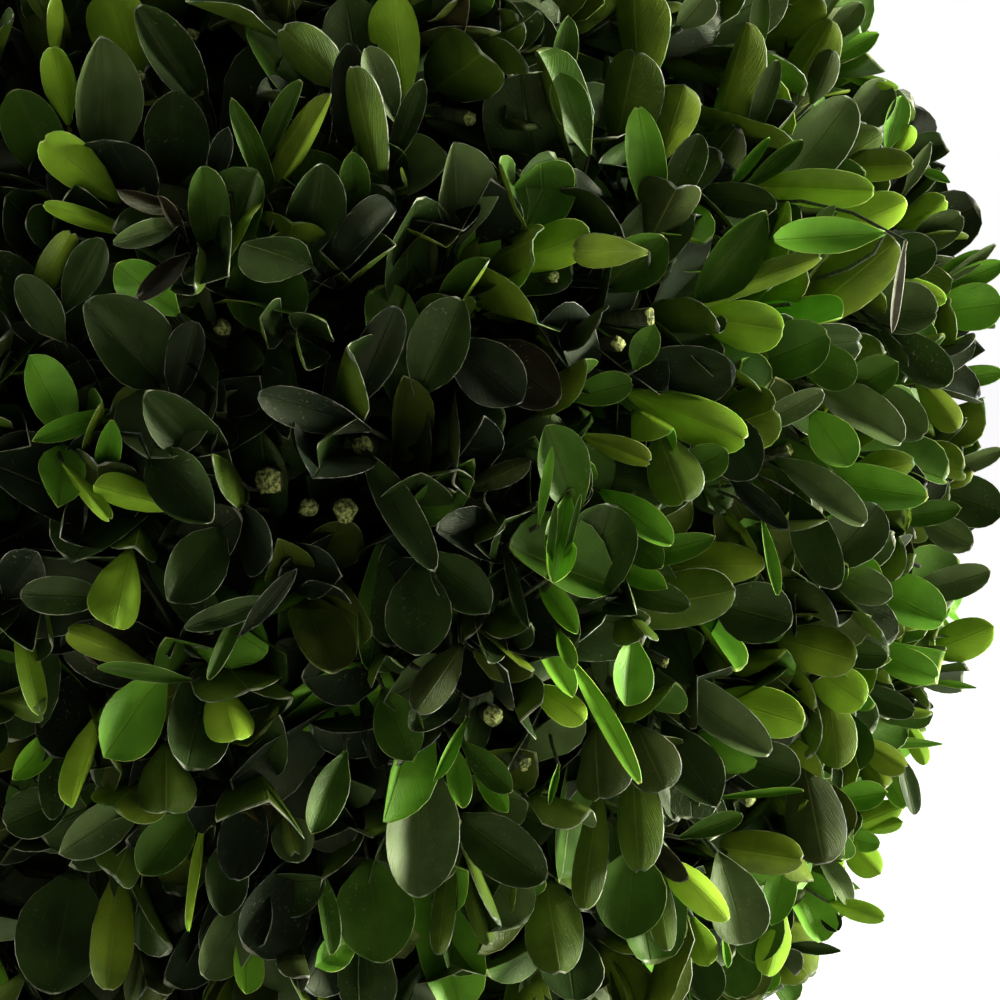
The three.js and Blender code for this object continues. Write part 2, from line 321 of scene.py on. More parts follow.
@dataclass(frozen=True)
class LeafFace:
    """One face of a box leaf: a leathery cuticle over layers of green cells.

    To the eye the upper face is dark and waxy, with a soft sheen that breaks up over fine wrinkles and a
    creased midrib. The lower face is paler, yellower and dull, with a raised midrib. Pale specks stand for
    dust and scuff marks, and partly for painted glints.
    """

    name: str
    colour: str
    shade: str
    rib: str
    rib_share: float
    rib_rise: float
    vein_rise: float
    roughness: float
    scuffs_and_glints: float
    sheen: float

    CLOUD = 8 * MM
    CLOUD_RANGE = (0.38, 0.62)
    GRAIN = 0.55 * MM
    DOT_RANGE = (0.63, 0.7)
    PATCH = 11 * MM
    PATCH_RANGE = (0.5, 0.66)
    RIB_WIDTH = 0.022
    RIB_CORE = 0.3
    VEIN_SLANT = 1.3
    VEIN_STRETCH = (4.0, 42.0, 1.0)
    RELIEF = 0.22 * MM
    GRAIN_RISE = 0.16
    DUST_AND_GLINT = "#8b8a6c"
    SHEEN_TINT = "#dcec9c"
    WAX_IOR = 1.4
    GLOSS_BELOW = 0.08
    GLOSS_ABOVE = 0.12

    def dress(self) -> bpy.types.Material:
        """Build the material: clouds of two colours, midrib and veins along the map, pale specks over them.

        The specks are dust and scuff marks, and partly painted glints.

        Returns:
            The material.
        """
        material, tree, shader = bare_material(self.name)
        place = add_node(tree, "ShaderNodeTexCoord", {}, "Object")
        blade = add_node(tree, "ShaderNodeUVMap", {}, uv_map="Blade")
        cloud = add_node(tree, "ShaderNodeTexNoise", {"Vector": place, "Scale": 1 / self.CLOUD, "Detail": 3})
        least, most = self.CLOUD_RANGE
        cloudy = add_node(tree, "ShaderNodeMapRange", {0: cloud, 1: least, 2: most})
        tone = add_node(
            tree,
            "ShaderNodeMix",
            {0: cloudy, 6: linear_colour(self.shade), 7: linear_colour(self.colour)},
            2,
            data_type="RGBA",
        )
        across = add_node(tree, "ShaderNodeSeparateXYZ", {0: blade})
        along = across.node.outputs["Y"]
        middle = add_node(tree, "ShaderNodeMath", {0: across, 1: 0.5}, operation="SUBTRACT")
        off_rib = add_node(tree, "ShaderNodeMath", {0: middle}, operation="ABSOLUTE")
        core = self.RIB_WIDTH * self.RIB_CORE
        rib = add_node(tree, "ShaderNodeMapRange", {0: off_rib, 1: self.RIB_WIDTH, 2: core})
        rib_tone = add_node(tree, "ShaderNodeMath", {0: rib, 1: self.rib_share}, operation="MULTIPLY")
        ribbed = add_node(
            tree, "ShaderNodeMix", {0: rib_tone, 6: tone, 7: linear_colour(self.rib)}, 2, data_type="RGBA"
        )
        grain = add_node(tree, "ShaderNodeTexNoise", {"Vector": place, "Scale": 1 / self.GRAIN, "Detail": 3})
        # Pale specks in patches: dust and scuff marks, and partly painted glints of light on the cuticle.
        least, most = self.DOT_RANGE
        dust_and_glint_dots = add_node(tree, "ShaderNodeMapRange", {0: grain, 1: least, 2: most})
        patch = add_node(tree, "ShaderNodeTexNoise", {"Vector": place, "Scale": 1 / self.PATCH, "Detail": 2})
        least, most = self.PATCH_RANGE
        dust_and_glint_patches = add_node(tree, "ShaderNodeMapRange", {0: patch, 1: least, 2: most, 4: self.scuffs_and_glints})
        dust_and_glint_mask = add_node(tree, "ShaderNodeMath", {0: dust_and_glint_dots, 1: dust_and_glint_patches}, operation="MULTIPLY")
        final = add_node(
            tree, "ShaderNodeMix", {0: dust_and_glint_mask, 6: ribbed, 7: linear_colour(self.DUST_AND_GLINT)}, 2, data_type="RGBA"
        )
        tree.links.new(final, shader.inputs["Base Color"])
        slant = add_node(tree, "ShaderNodeMath", {0: off_rib, 1: self.VEIN_SLANT}, operation="MULTIPLY")
        climb = add_node(tree, "ShaderNodeMath", {0: along, 1: slant}, operation="SUBTRACT")
        streak = add_node(tree, "ShaderNodeCombineXYZ", {0: off_rib, 1: climb})
        drawn = add_node(tree, "ShaderNodeMapping", {"Vector": streak, "Scale": self.VEIN_STRETCH})
        veins = add_node(tree, "ShaderNodeTexNoise", {"Vector": drawn, "Scale": 1.0, "Detail": 2})
        vein_height = add_node(tree, "ShaderNodeMath", {0: veins, 1: self.vein_rise}, operation="MULTIPLY")
        height = add_node(
            tree, "ShaderNodeMath", {0: grain, 1: self.GRAIN_RISE, 2: vein_height}, operation="MULTIPLY_ADD"
        )
        relief = add_node(
            tree, "ShaderNodeMath", {0: rib, 1: self.rib_rise, 2: height}, operation="MULTIPLY_ADD"
        )
        bump = add_node(tree, "ShaderNodeBump", {"Height": relief, "Strength": 1.0, "Distance": self.RELIEF})
        tree.links.new(bump, shader.inputs["Normal"])
        least, most = self.roughness - self.GLOSS_BELOW, self.roughness + self.GLOSS_ABOVE
        gloss = add_node(tree, "ShaderNodeMapRange", {0: cloud, 3: least, 4: most})
        tree.links.new(gloss, shader.inputs["Roughness"])
        shader.inputs["IOR"].default_value = self.WAX_IOR
        shader.inputs["Specular IOR Level"].default_value = self.sheen
        shader.inputs["Specular Tint"].default_value = linear_colour(self.SHEEN_TINT)
        return material


@dataclass(frozen=True)
class LeafMargin:
    """The leaf's thickened edge: horny, with no green cells, so it shows as a thin pale line all round. Its
    pale colour also paints the bright rim that grazing light gives.
    """

    name: str
    colour: str
    shade: str

    STRETCH = 2.5 * MM
    ROUGHNESS = 0.45
    HORN_IOR = 1.45

    def dress(self) -> bpy.types.Material:
        """Build the material: two pale colours in short stretches along the edge, partly a painted rim
        highlight.

        Returns:
            The material.
        """
        material, tree, shader = bare_material(self.name)
        place = add_node(tree, "ShaderNodeTexCoord", {}, "Object")
        stretch = add_node(
            tree, "ShaderNodeTexNoise", {"Vector": place, "Scale": 1 / self.STRETCH, "Detail": 2}
        )
        share = add_node(tree, "ShaderNodeMapRange", {0: stretch, 1: 0.4, 2: 0.62})
        tone = add_node(
            tree,
            "ShaderNodeMix",
            {0: share, 6: linear_colour(self.shade), 7: linear_colour(self.colour)},
            2,
            data_type="RGBA",
        )
        tree.links.new(tone, shader.inputs["Base Color"])
        shader.inputs["Roughness"].default_value = self.ROUGHNESS
        shader.inputs["IOR"].default_value = self.HORN_IOR
        return material


@dataclass(frozen=True)
class Bark:
    """Box bark and cut wood: thin cork, cracked finely lengthwise. To the eye it is dull, dark in cracks."""

    name: str
    ridge: str
    crack: str
    crack_width: float
    stretch: float
    bump: float = 0.6

    DEPTH = 0.4 * MM
    CRACK_RANGE = (0.42, 0.6)
    ROUGHNESS = 0.85

    def dress(self) -> bpy.types.Material:
        """Build the material: noise drawn out along Z, its low values dark as cracks, and bump from it.

        Returns:
            The material.
        """
        material, tree, shader = bare_material(self.name)
        place = add_node(tree, "ShaderNodeTexCoord", {}, "Object")
        drawn = add_node(tree, "ShaderNodeMapping", {"Vector": place, "Scale": (1.0, 1.0, 1 / self.stretch)})
        cracks = add_node(
            tree,
            "ShaderNodeTexNoise",
            {"Vector": drawn, "Scale": 1 / self.crack_width, "Detail": 5, "Roughness": 0.65},
        )
        least, most = self.CRACK_RANGE
        share = add_node(tree, "ShaderNodeMapRange", {0: cracks, 1: least, 2: most})
        tone = add_node(
            tree,
            "ShaderNodeMix",
            {0: share, 6: linear_colour(self.crack), 7: linear_colour(self.ridge)},
            2,
            data_type="RGBA",
        )
        tree.links.new(tone, shader.inputs["Base Color"])
        bump = add_node(
            tree, "ShaderNodeBump", {"Height": cracks, "Strength": self.bump, "Distance": self.DEPTH}
        )
        tree.links.new(bump, shader.inputs["Normal"])
        shader.inputs["Roughness"].default_value = self.ROUGHNESS
        return material


PALE_RIB = "#a3b04c"


class Tint(Enum):
    """The colours that box leaves take with age and light, one of them a painted glow of light through the
    leaf.

    Each has the upper face's colour and its shade, the under face's two, and the margin's.
    """

    DEEP = ("#30451a", "#243214", "#50671b", "#3d5116", "#a0a57c")
    BLACKISH = ("#202a1a", "#171e12", "#3b461d", "#2c3515", "#8f9072")
    GREYED = ("#5b6f3a", "#4a5a2f", "#6f8232", "#5b6b29", "#a8ae88")
    MID = ("#45681c", "#345315", "#6c8220", "#54691a", "#8fa04e")
    OLIVE = ("#4a581a", "#394515", "#6b801c", "#526617", "#8c9250")
    LIME = ("#71aa2c", "#5c9324", "#8cb42a", "#769c22", "#b4c657")
    BROWNISH = ("#292316", "#1d1910", "#4b4524", "#37331b", "#78704c")
    DRY = ("#918f74", "#6f6d56", "#7d7a60", "#5f5c45", "#a39b78")
    # Young growth, brighter than a leaf's own lime: painted glow of light passing through the leaf.
    YOUNG = ("#8fcf37", "#7ab82c", "#a9d038", "#93ba2a", "#c4d860")

    def finishes(self) -> list[bpy.types.Material]:
        """Dress the upper face, the under face and the margin of leaves of this tint.

        Returns:
            The three materials in that order.
        """
        upper, upper_shade, under, under_shade, margin = self.value
        title = self.name.lower()
        above = LeafFace(
            f"box leaf cuticle, {title} upper face", upper, upper_shade, under,
            rib_share=0.2, rib_rise=-0.5, vein_rise=0.3, roughness=0.37, scuffs_and_glints=0.6, sheen=0.42,
        )
        below = LeafFace(
            f"box leaf cuticle, {title} under face", under, under_shade, PALE_RIB,
            rib_share=0.15, rib_rise=0.35, vein_rise=0.5, roughness=0.46, scuffs_and_glints=0.3, sheen=0.2,
        )
        # The margin's pale colour is partly the horny edge and partly a painted rim highlight.
        edge = LeafMargin(f"horny leaf margin, {title}", margin, upper)
        return [finish.dress() for finish in (above, below, edge)]


@dataclass(frozen=True)
class Plan:
    """The ball's driving sizes, the same as the solids have, and the rule for its boughs and twigs."""

    middle: np.ndarray = field(default_factory=lambda: np.array([0, 0, 165 * MM]))
    ground_clearance: float = 1.5 * MM
    heart_radius: float = 84 * MM
    heart_drop: float = 26 * MM
    stem_out: float = 8 * MM
    piece_gap: float = 0.3 * MM
    trunk_top: float = 134 * MM
    trunk_lean: np.ndarray = field(default_factory=lambda: np.array([4 * MM, -2.5 * MM]))
    bough_tip_radius: float = 3.2 * MM
    bough_wander: float = 5.0
    bough_foot_step: float = 4.4 * MM
    bough_outward: float = 1.1
    twig_count: int = 112
    twig_shift: float = 0.06
    twig_tilt: float = 0.2

    def on_way(self, ways: np.ndarray, distances: np.ndarray | float) -> np.ndarray:
        """Give the points at those distances from the ball's middle."""
        return self.middle + ways * np.asarray(distances)[..., None]

    def heart_distance(self, ways: np.ndarray) -> np.ndarray:
        """Give how far from the ball's middle the bare space ends: where a line leaves a lower ball."""
        along = ways[:, 2] * self.heart_drop
        return -along + np.sqrt(along**2 - self.heart_drop**2 + self.heart_radius**2)

    def trunk_centre(self, heights: np.ndarray) -> np.ndarray:
        """Give the trunk's middle at those heights: it leans by the square of the height."""
        lean = (heights / self.trunk_top) ** 2
        return np.stack([self.trunk_lean[0] * lean, self.trunk_lean[1] * lean, heights], axis=-1)


@dataclass(frozen=True)
class BoughRing:
    """One ring of boughs, as the solids have it: angles in degrees, sizes in metres."""

    name: str
    level: int
    count: int
    polar: float
    turn: float
    foot: float
    foot_radius: float


PLAN = Plan()
RINGS = (
    BoughRing("leader", 0, 1, polar=0.0, turn=0.0, foot=PLAN.trunk_top, foot_radius=5.8 * MM),
    BoughRing("upper", 1, 5, polar=59.0, turn=12.0, foot=94 * MM, foot_radius=4.5 * MM),
    BoughRing("lower", 2, 5, polar=114.0, turn=48.0, foot=62 * MM, foot_radius=4.8 * MM),
)


@dataclass(frozen=True)
class Bough:
    """One bough: its node's name, its way out, and its curve's control points."""

    name: str
    way: np.ndarray
    foot_radius: float
    controls: list[np.ndarray]


def list_boughs(plan: Plan, rings: tuple[BoughRing, ...]) -> list[Bough]:
    """Place the boughs by the solids' rule: even turns in each ring, each strayed a little.

    Args:
        plan: The ball's sizes.
        rings: The rings of boughs.

    Returns:
        The boughs in the solids' order.
    """
    boughs = []
    for ring in rings:
        for n in range(ring.count):
            is_leader = ring.count == 1
            wander = 0.0 if is_leader else plan.bough_wander
            polar = np.radians(ring.polar + stray(wander, ring.level, n, 1)[0])
            turn = np.radians(ring.turn + 360 * n / ring.count + stray(wander, ring.level, n, 2)[0])
            way = np.array([np.sin(polar) * np.sin(turn), -np.sin(polar) * np.cos(turn), np.cos(polar)])
            step = 0 if is_leader else ((n * 2) % ring.count) * plan.bough_foot_step
            height = ring.foot + (plan.piece_gap if is_leader else step)
            foot = plan.trunk_centre(np.array(height))
            tip = plan.on_way(way, plan.heart_distance(way[None])[0] - plan.stem_out - plan.piece_gap)
            outward = unit(way * [1, 1, 0]) * (0 if is_leader else plan.bough_outward)
            reach = np.linalg.norm(tip - foot) / 3
            controls = [foot, foot + unit(outward + UP) * reach, tip - way * reach, tip]
            name = ring.name if is_leader else f"{ring.name}_{n + 1}"
            boughs.append(Bough(name, way, ring.foot_radius, [point[None] for point in controls]))
    return boughs


@dataclass
class BarkRelief:
    """The small rise and fall of bark on a limb: ridges that run lengthwise, drift sideways and break up."""

    ridges: int
    depth: float
    break_length: float

    def rise(self, around: np.ndarray, along: np.ndarray) -> np.ndarray:
        """Work out the relief: one less the size of a sine across the limb, whose phase drifts along it.

        Args:
            around: Angles round the limb, in radians.
            along: Distances along the limb, in metres.

        Returns:
            How far the surface stands out, in metres.
        """
        steps = along / self.break_length
        drift = 0.7 * np.sin(steps) + 0.4 * np.sin(2.3 * steps + 2 * np.sin(around))
        coarse = 1 - np.abs(np.sin(self.ridges / 2 * around + drift))
        fine = 1 - np.abs(np.sin((self.ridges + 4) * around + 1.7 * drift + 3.1 * steps))
        broken = 0.6 + 0.4 * np.sin(1.9 * steps + 3 * np.sin(2 * around + steps))
        return self.depth * (0.65 * coarse + 0.35 * fine) * broken


@dataclass
class Trunk:
    """The short trunk: tapered, leaning, with a lobed root flare, from its flat cut at the ground up."""

    plan: Plan
    foot_radius: float = 11 * MM
    tip_radius: float = 7 * MM
    flare_reach: float = 7 * MM
    flare_height: float = 9 * MM
    flare_lobes: int = 5
    flare_lobe_depth: float = 0.16
    sides: int = 120
    rings: int = 90
    relief: BarkRelief = field(
        default_factory=lambda: BarkRelief(ridges=22, depth=0.9 * MM, break_length=6 * MM)
    )

    def build(self) -> Surface:
        """Wind level rings round the leaning middle: radius = taper + flare, lobed at the ground, + bark.

        Returns:
            The trunk's closed surface.
        """
        share = np.linspace(0, 1, self.rings)
        height = share * self.plan.trunk_top
        path = self.plan.trunk_centre(height)[None]
        wall = tubes(path, np.ones((1, self.rings)), self.sides)
        turn = (np.arange(self.sides) * 2 * np.pi / self.sides)[None]
        flare = np.exp(-height / self.flare_height)[:, None]
        lobe = 1 + self.flare_lobe_depth * flare * np.cos(self.flare_lobes * turn)
        taper = (self.foot_radius + (self.tip_radius - self.foot_radius) * share)[:, None]
        radius = (taper + self.flare_reach * flare) * lobe - self.relief.depth / 2
        radius = radius + self.relief.rise(turn, height[:, None])
        ring = np.stack(np.broadcast_arrays(np.cos(turn) * radius, np.sin(turn) * radius, 0.0), axis=-1)
        wall.points[:-2] = (path[0][:, None] + ring).reshape(-1, 3)
        return wall

    def make(self, bark: bpy.types.Material) -> bpy.types.Object:
        """Make the trunk as one piece that stands for its solid.

        Args:
            bark: The bark's material.

        Returns:
            The piece.
        """
        piece = self.build().make("trunk_bark", [bark, bark])
        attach(piece, "root")
        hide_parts("trunk")
        return piece


@dataclass
class Limbs:
    """The boughs: each a tapering limb, from inside the trunk to the foot of its mass, with bark relief."""

    plan: Plan
    boughs: list[Bough]
    sides: int = 28
    rings: int = 40
    relief: BarkRelief = field(
        default_factory=lambda: BarkRelief(ridges=12, depth=0.45 * MM, break_length=4 * MM)
    )

    def build(self, bough: Bough) -> Surface:
        """Carry the tapering section along the bough's curve, each ring's radius raised by the bark.

        Args:
            bough: The bough.

        Returns:
            Its closed surface.
        """
        path = bezier(bough.controls, self.rings)
        share = np.linspace(0, 1, self.rings)
        taper = bough.foot_radius + (self.plan.bough_tip_radius - bough.foot_radius) * share
        limb = tubes(path, taper[None], self.sides)
        length = share * np.linalg.norm(path[0, -1] - path[0, 0])
        turn = np.arange(self.sides) * 2 * np.pi / self.sides
        rise = self.relief.rise(turn[None], length[:, None]) - self.relief.depth / 2
        ring = limb.points[:-2].reshape(self.rings, self.sides, 3)
        centre = path[0][:, None]
        limb.points[:-2] = (ring + unit(ring - centre) * rise[:, :, None]).reshape(-1, 3)
        return limb

    def make(self, bark: bpy.types.Material) -> list[bpy.types.Object]:
        """Make each bough as one piece that stands for its solid.

        Args:
            bark: The bark's material.

        Returns:
            The pieces.
        """
        pieces = []
        for bough in self.boughs:
            piece = self.build(bough).make(f"bough_bark_{bough.name}", [bark, bark])
            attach(piece, "root")
            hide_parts(f"bough_{bough.name}")
            pieces.append(piece)
        return pieces


@dataclass
class Camera:
    """The photograph's camera: near level, close to the ball, aimed past its right side."""

    plan: Plan
    distance: float = 0.70
    elevation: float = 4.0
    frame_pixels: int = 1000
    focal_pixels: float = 3390.0
    ball_pixel_x: float = 223.0
    ball_pixel_y: float = 457.0
    sensor: float = 36.0

    def __post_init__(self) -> None:
        """Aim the camera so that the ball's middle falls on its pixel with the lens unshifted."""
        tilt = np.radians(self.elevation)
        back = np.array([0.0, -np.cos(tilt), np.sin(tilt)])
        self.eye = self.plan.middle + back * self.distance
        half = self.frame_pixels / 2
        x = (self.ball_pixel_x - half) / self.focal_pixels
        y = (half - self.ball_pixel_y) / self.focal_pixels
        level = np.array([1.0, 0.0, 0.0])
        self.ahead = unit(-back - level * x - np.cross(back, level) * y)
        self.right = unit(np.cross(self.ahead, UP))
        self.above = np.cross(self.right, self.ahead)

    def sight(self, pixel: tuple[float, float]) -> np.ndarray:
        """Give the direction in which the camera sees a pixel.

        Args:
            pixel: The pixel, from the left and from the top.

        Returns:
            The direction.
        """
        half = self.frame_pixels / 2
        beside, above = self.right * (pixel[0] - half), self.above * (half - pixel[1])
        return unit(self.ahead * self.focal_pixels + beside + above)

    def on_ball(self, pixel: tuple[float, float], radius: float) -> np.ndarray:
        """Follow the sight line through a pixel to the near side of a ball about the plant's middle.

        Args:
            pixel: Where the line passes, from the left and from the top.
            radius: The ball's radius. A line that misses it gives its own nearest point to the middle.

        Returns:
            The point.
        """
        sight = self.sight(pixel)
        offset = self.eye - self.plan.middle
        towards = -sight @ offset
        inside = towards**2 - offset @ offset + radius**2
        return self.eye + sight * (towards - np.sqrt(max(inside, 0.0)))

    def pixels(self, points: np.ndarray) -> tuple[np.ndarray, np.ndarray]:
        """Project points into the photograph.

        Args:
            points: Points, with their coordinates on the last axis.

        Returns:
            The pixels, and the distances along the camera's axis.
        """
        offset = points - self.eye
        depth = offset @ self.ahead
        half = self.frame_pixels / 2
        x = half + offset @ self.right / depth * self.focal_pixels
        y = half - offset @ self.above / depth * self.focal_pixels
        return np.stack([x, y], axis=-1), depth

    def make(self) -> bpy.types.Object:
        """Put the camera into the scene and make it the active one.

        Returns:
            The camera.
        """
        data = bpy.data.cameras.new("camera")
        data.sensor_width = self.sensor
        data.lens = self.focal_pixels * self.sensor / self.frame_pixels
        camera = put("camera", data)
        camera.location = self.eye
        camera.rotation_euler = Vector(self.ahead).to_track_quat("-Z", "Y").to_euler()
        bpy.context.scene.camera = camera
        return camera


class Face(Enum):
    """The face of a leaf that the camera sees."""

    UPPER = 1
    UNDER = -1


@dataclass(frozen=True)
class Blade:
    """A leaf that stands out in the photograph, told in its pixels: its root, its tip and how wide it is.

    The lift, in millimetres, brings it forward or back among its neighbours. Angles are in degrees, and lit
    tells how far its outer part turns to the right, where most light comes from.
    """

    root: tuple[float, float]
    tip: tuple[float, float]
    width: float
    tint: Tint
    face: Face = Face.UPPER
    lift: float = 0.0
    fold: float = 8.0
    cup: float = 0.4
    roll: float = 0.0
    arch: float = 10.0
    blunt: float = 2.2
    lit: float = 0.0


@dataclass(frozen=True)
class CutEnd:
    """A cut twig end that shows in the photograph, told in its pixels."""

    pixel: tuple[float, float]
    radius: float
    lift: float = 0.0


@dataclass(frozen=True)
class Window:
    """A stretch of the photograph, an ellipse in pixels, where nothing may stand before what shows there."""

    start: np.ndarray
    end: np.ndarray
    width: float
    start_depth: float
    end_depth: float
    margin: float = 3.5 * MM
    slack: float = 1.1

    def holds(self, spots: np.ndarray, depth: np.ndarray) -> np.ndarray:
        """Tell which points lie in the window and before what it shows.

        Args:
            spots: The points' pixels.
            depth: Their distances along the camera's axis.

        Returns:
            One truth for each point.
        """
        reach = np.linalg.norm(self.end - self.start) / 2
        ahead = (self.end - self.start) / (2 * reach)
        offset = spots - (self.start + self.end) / 2
        forward = offset @ ahead / reach
        aside = offset @ np.array([-ahead[1], ahead[0]]) / (self.width / 2)
        limit = self.start_depth + (self.end_depth - self.start_depth) * (forward + 1) / 2 + self.margin
        return (forward**2 + aside**2 < self.slack) & (depth < limit)


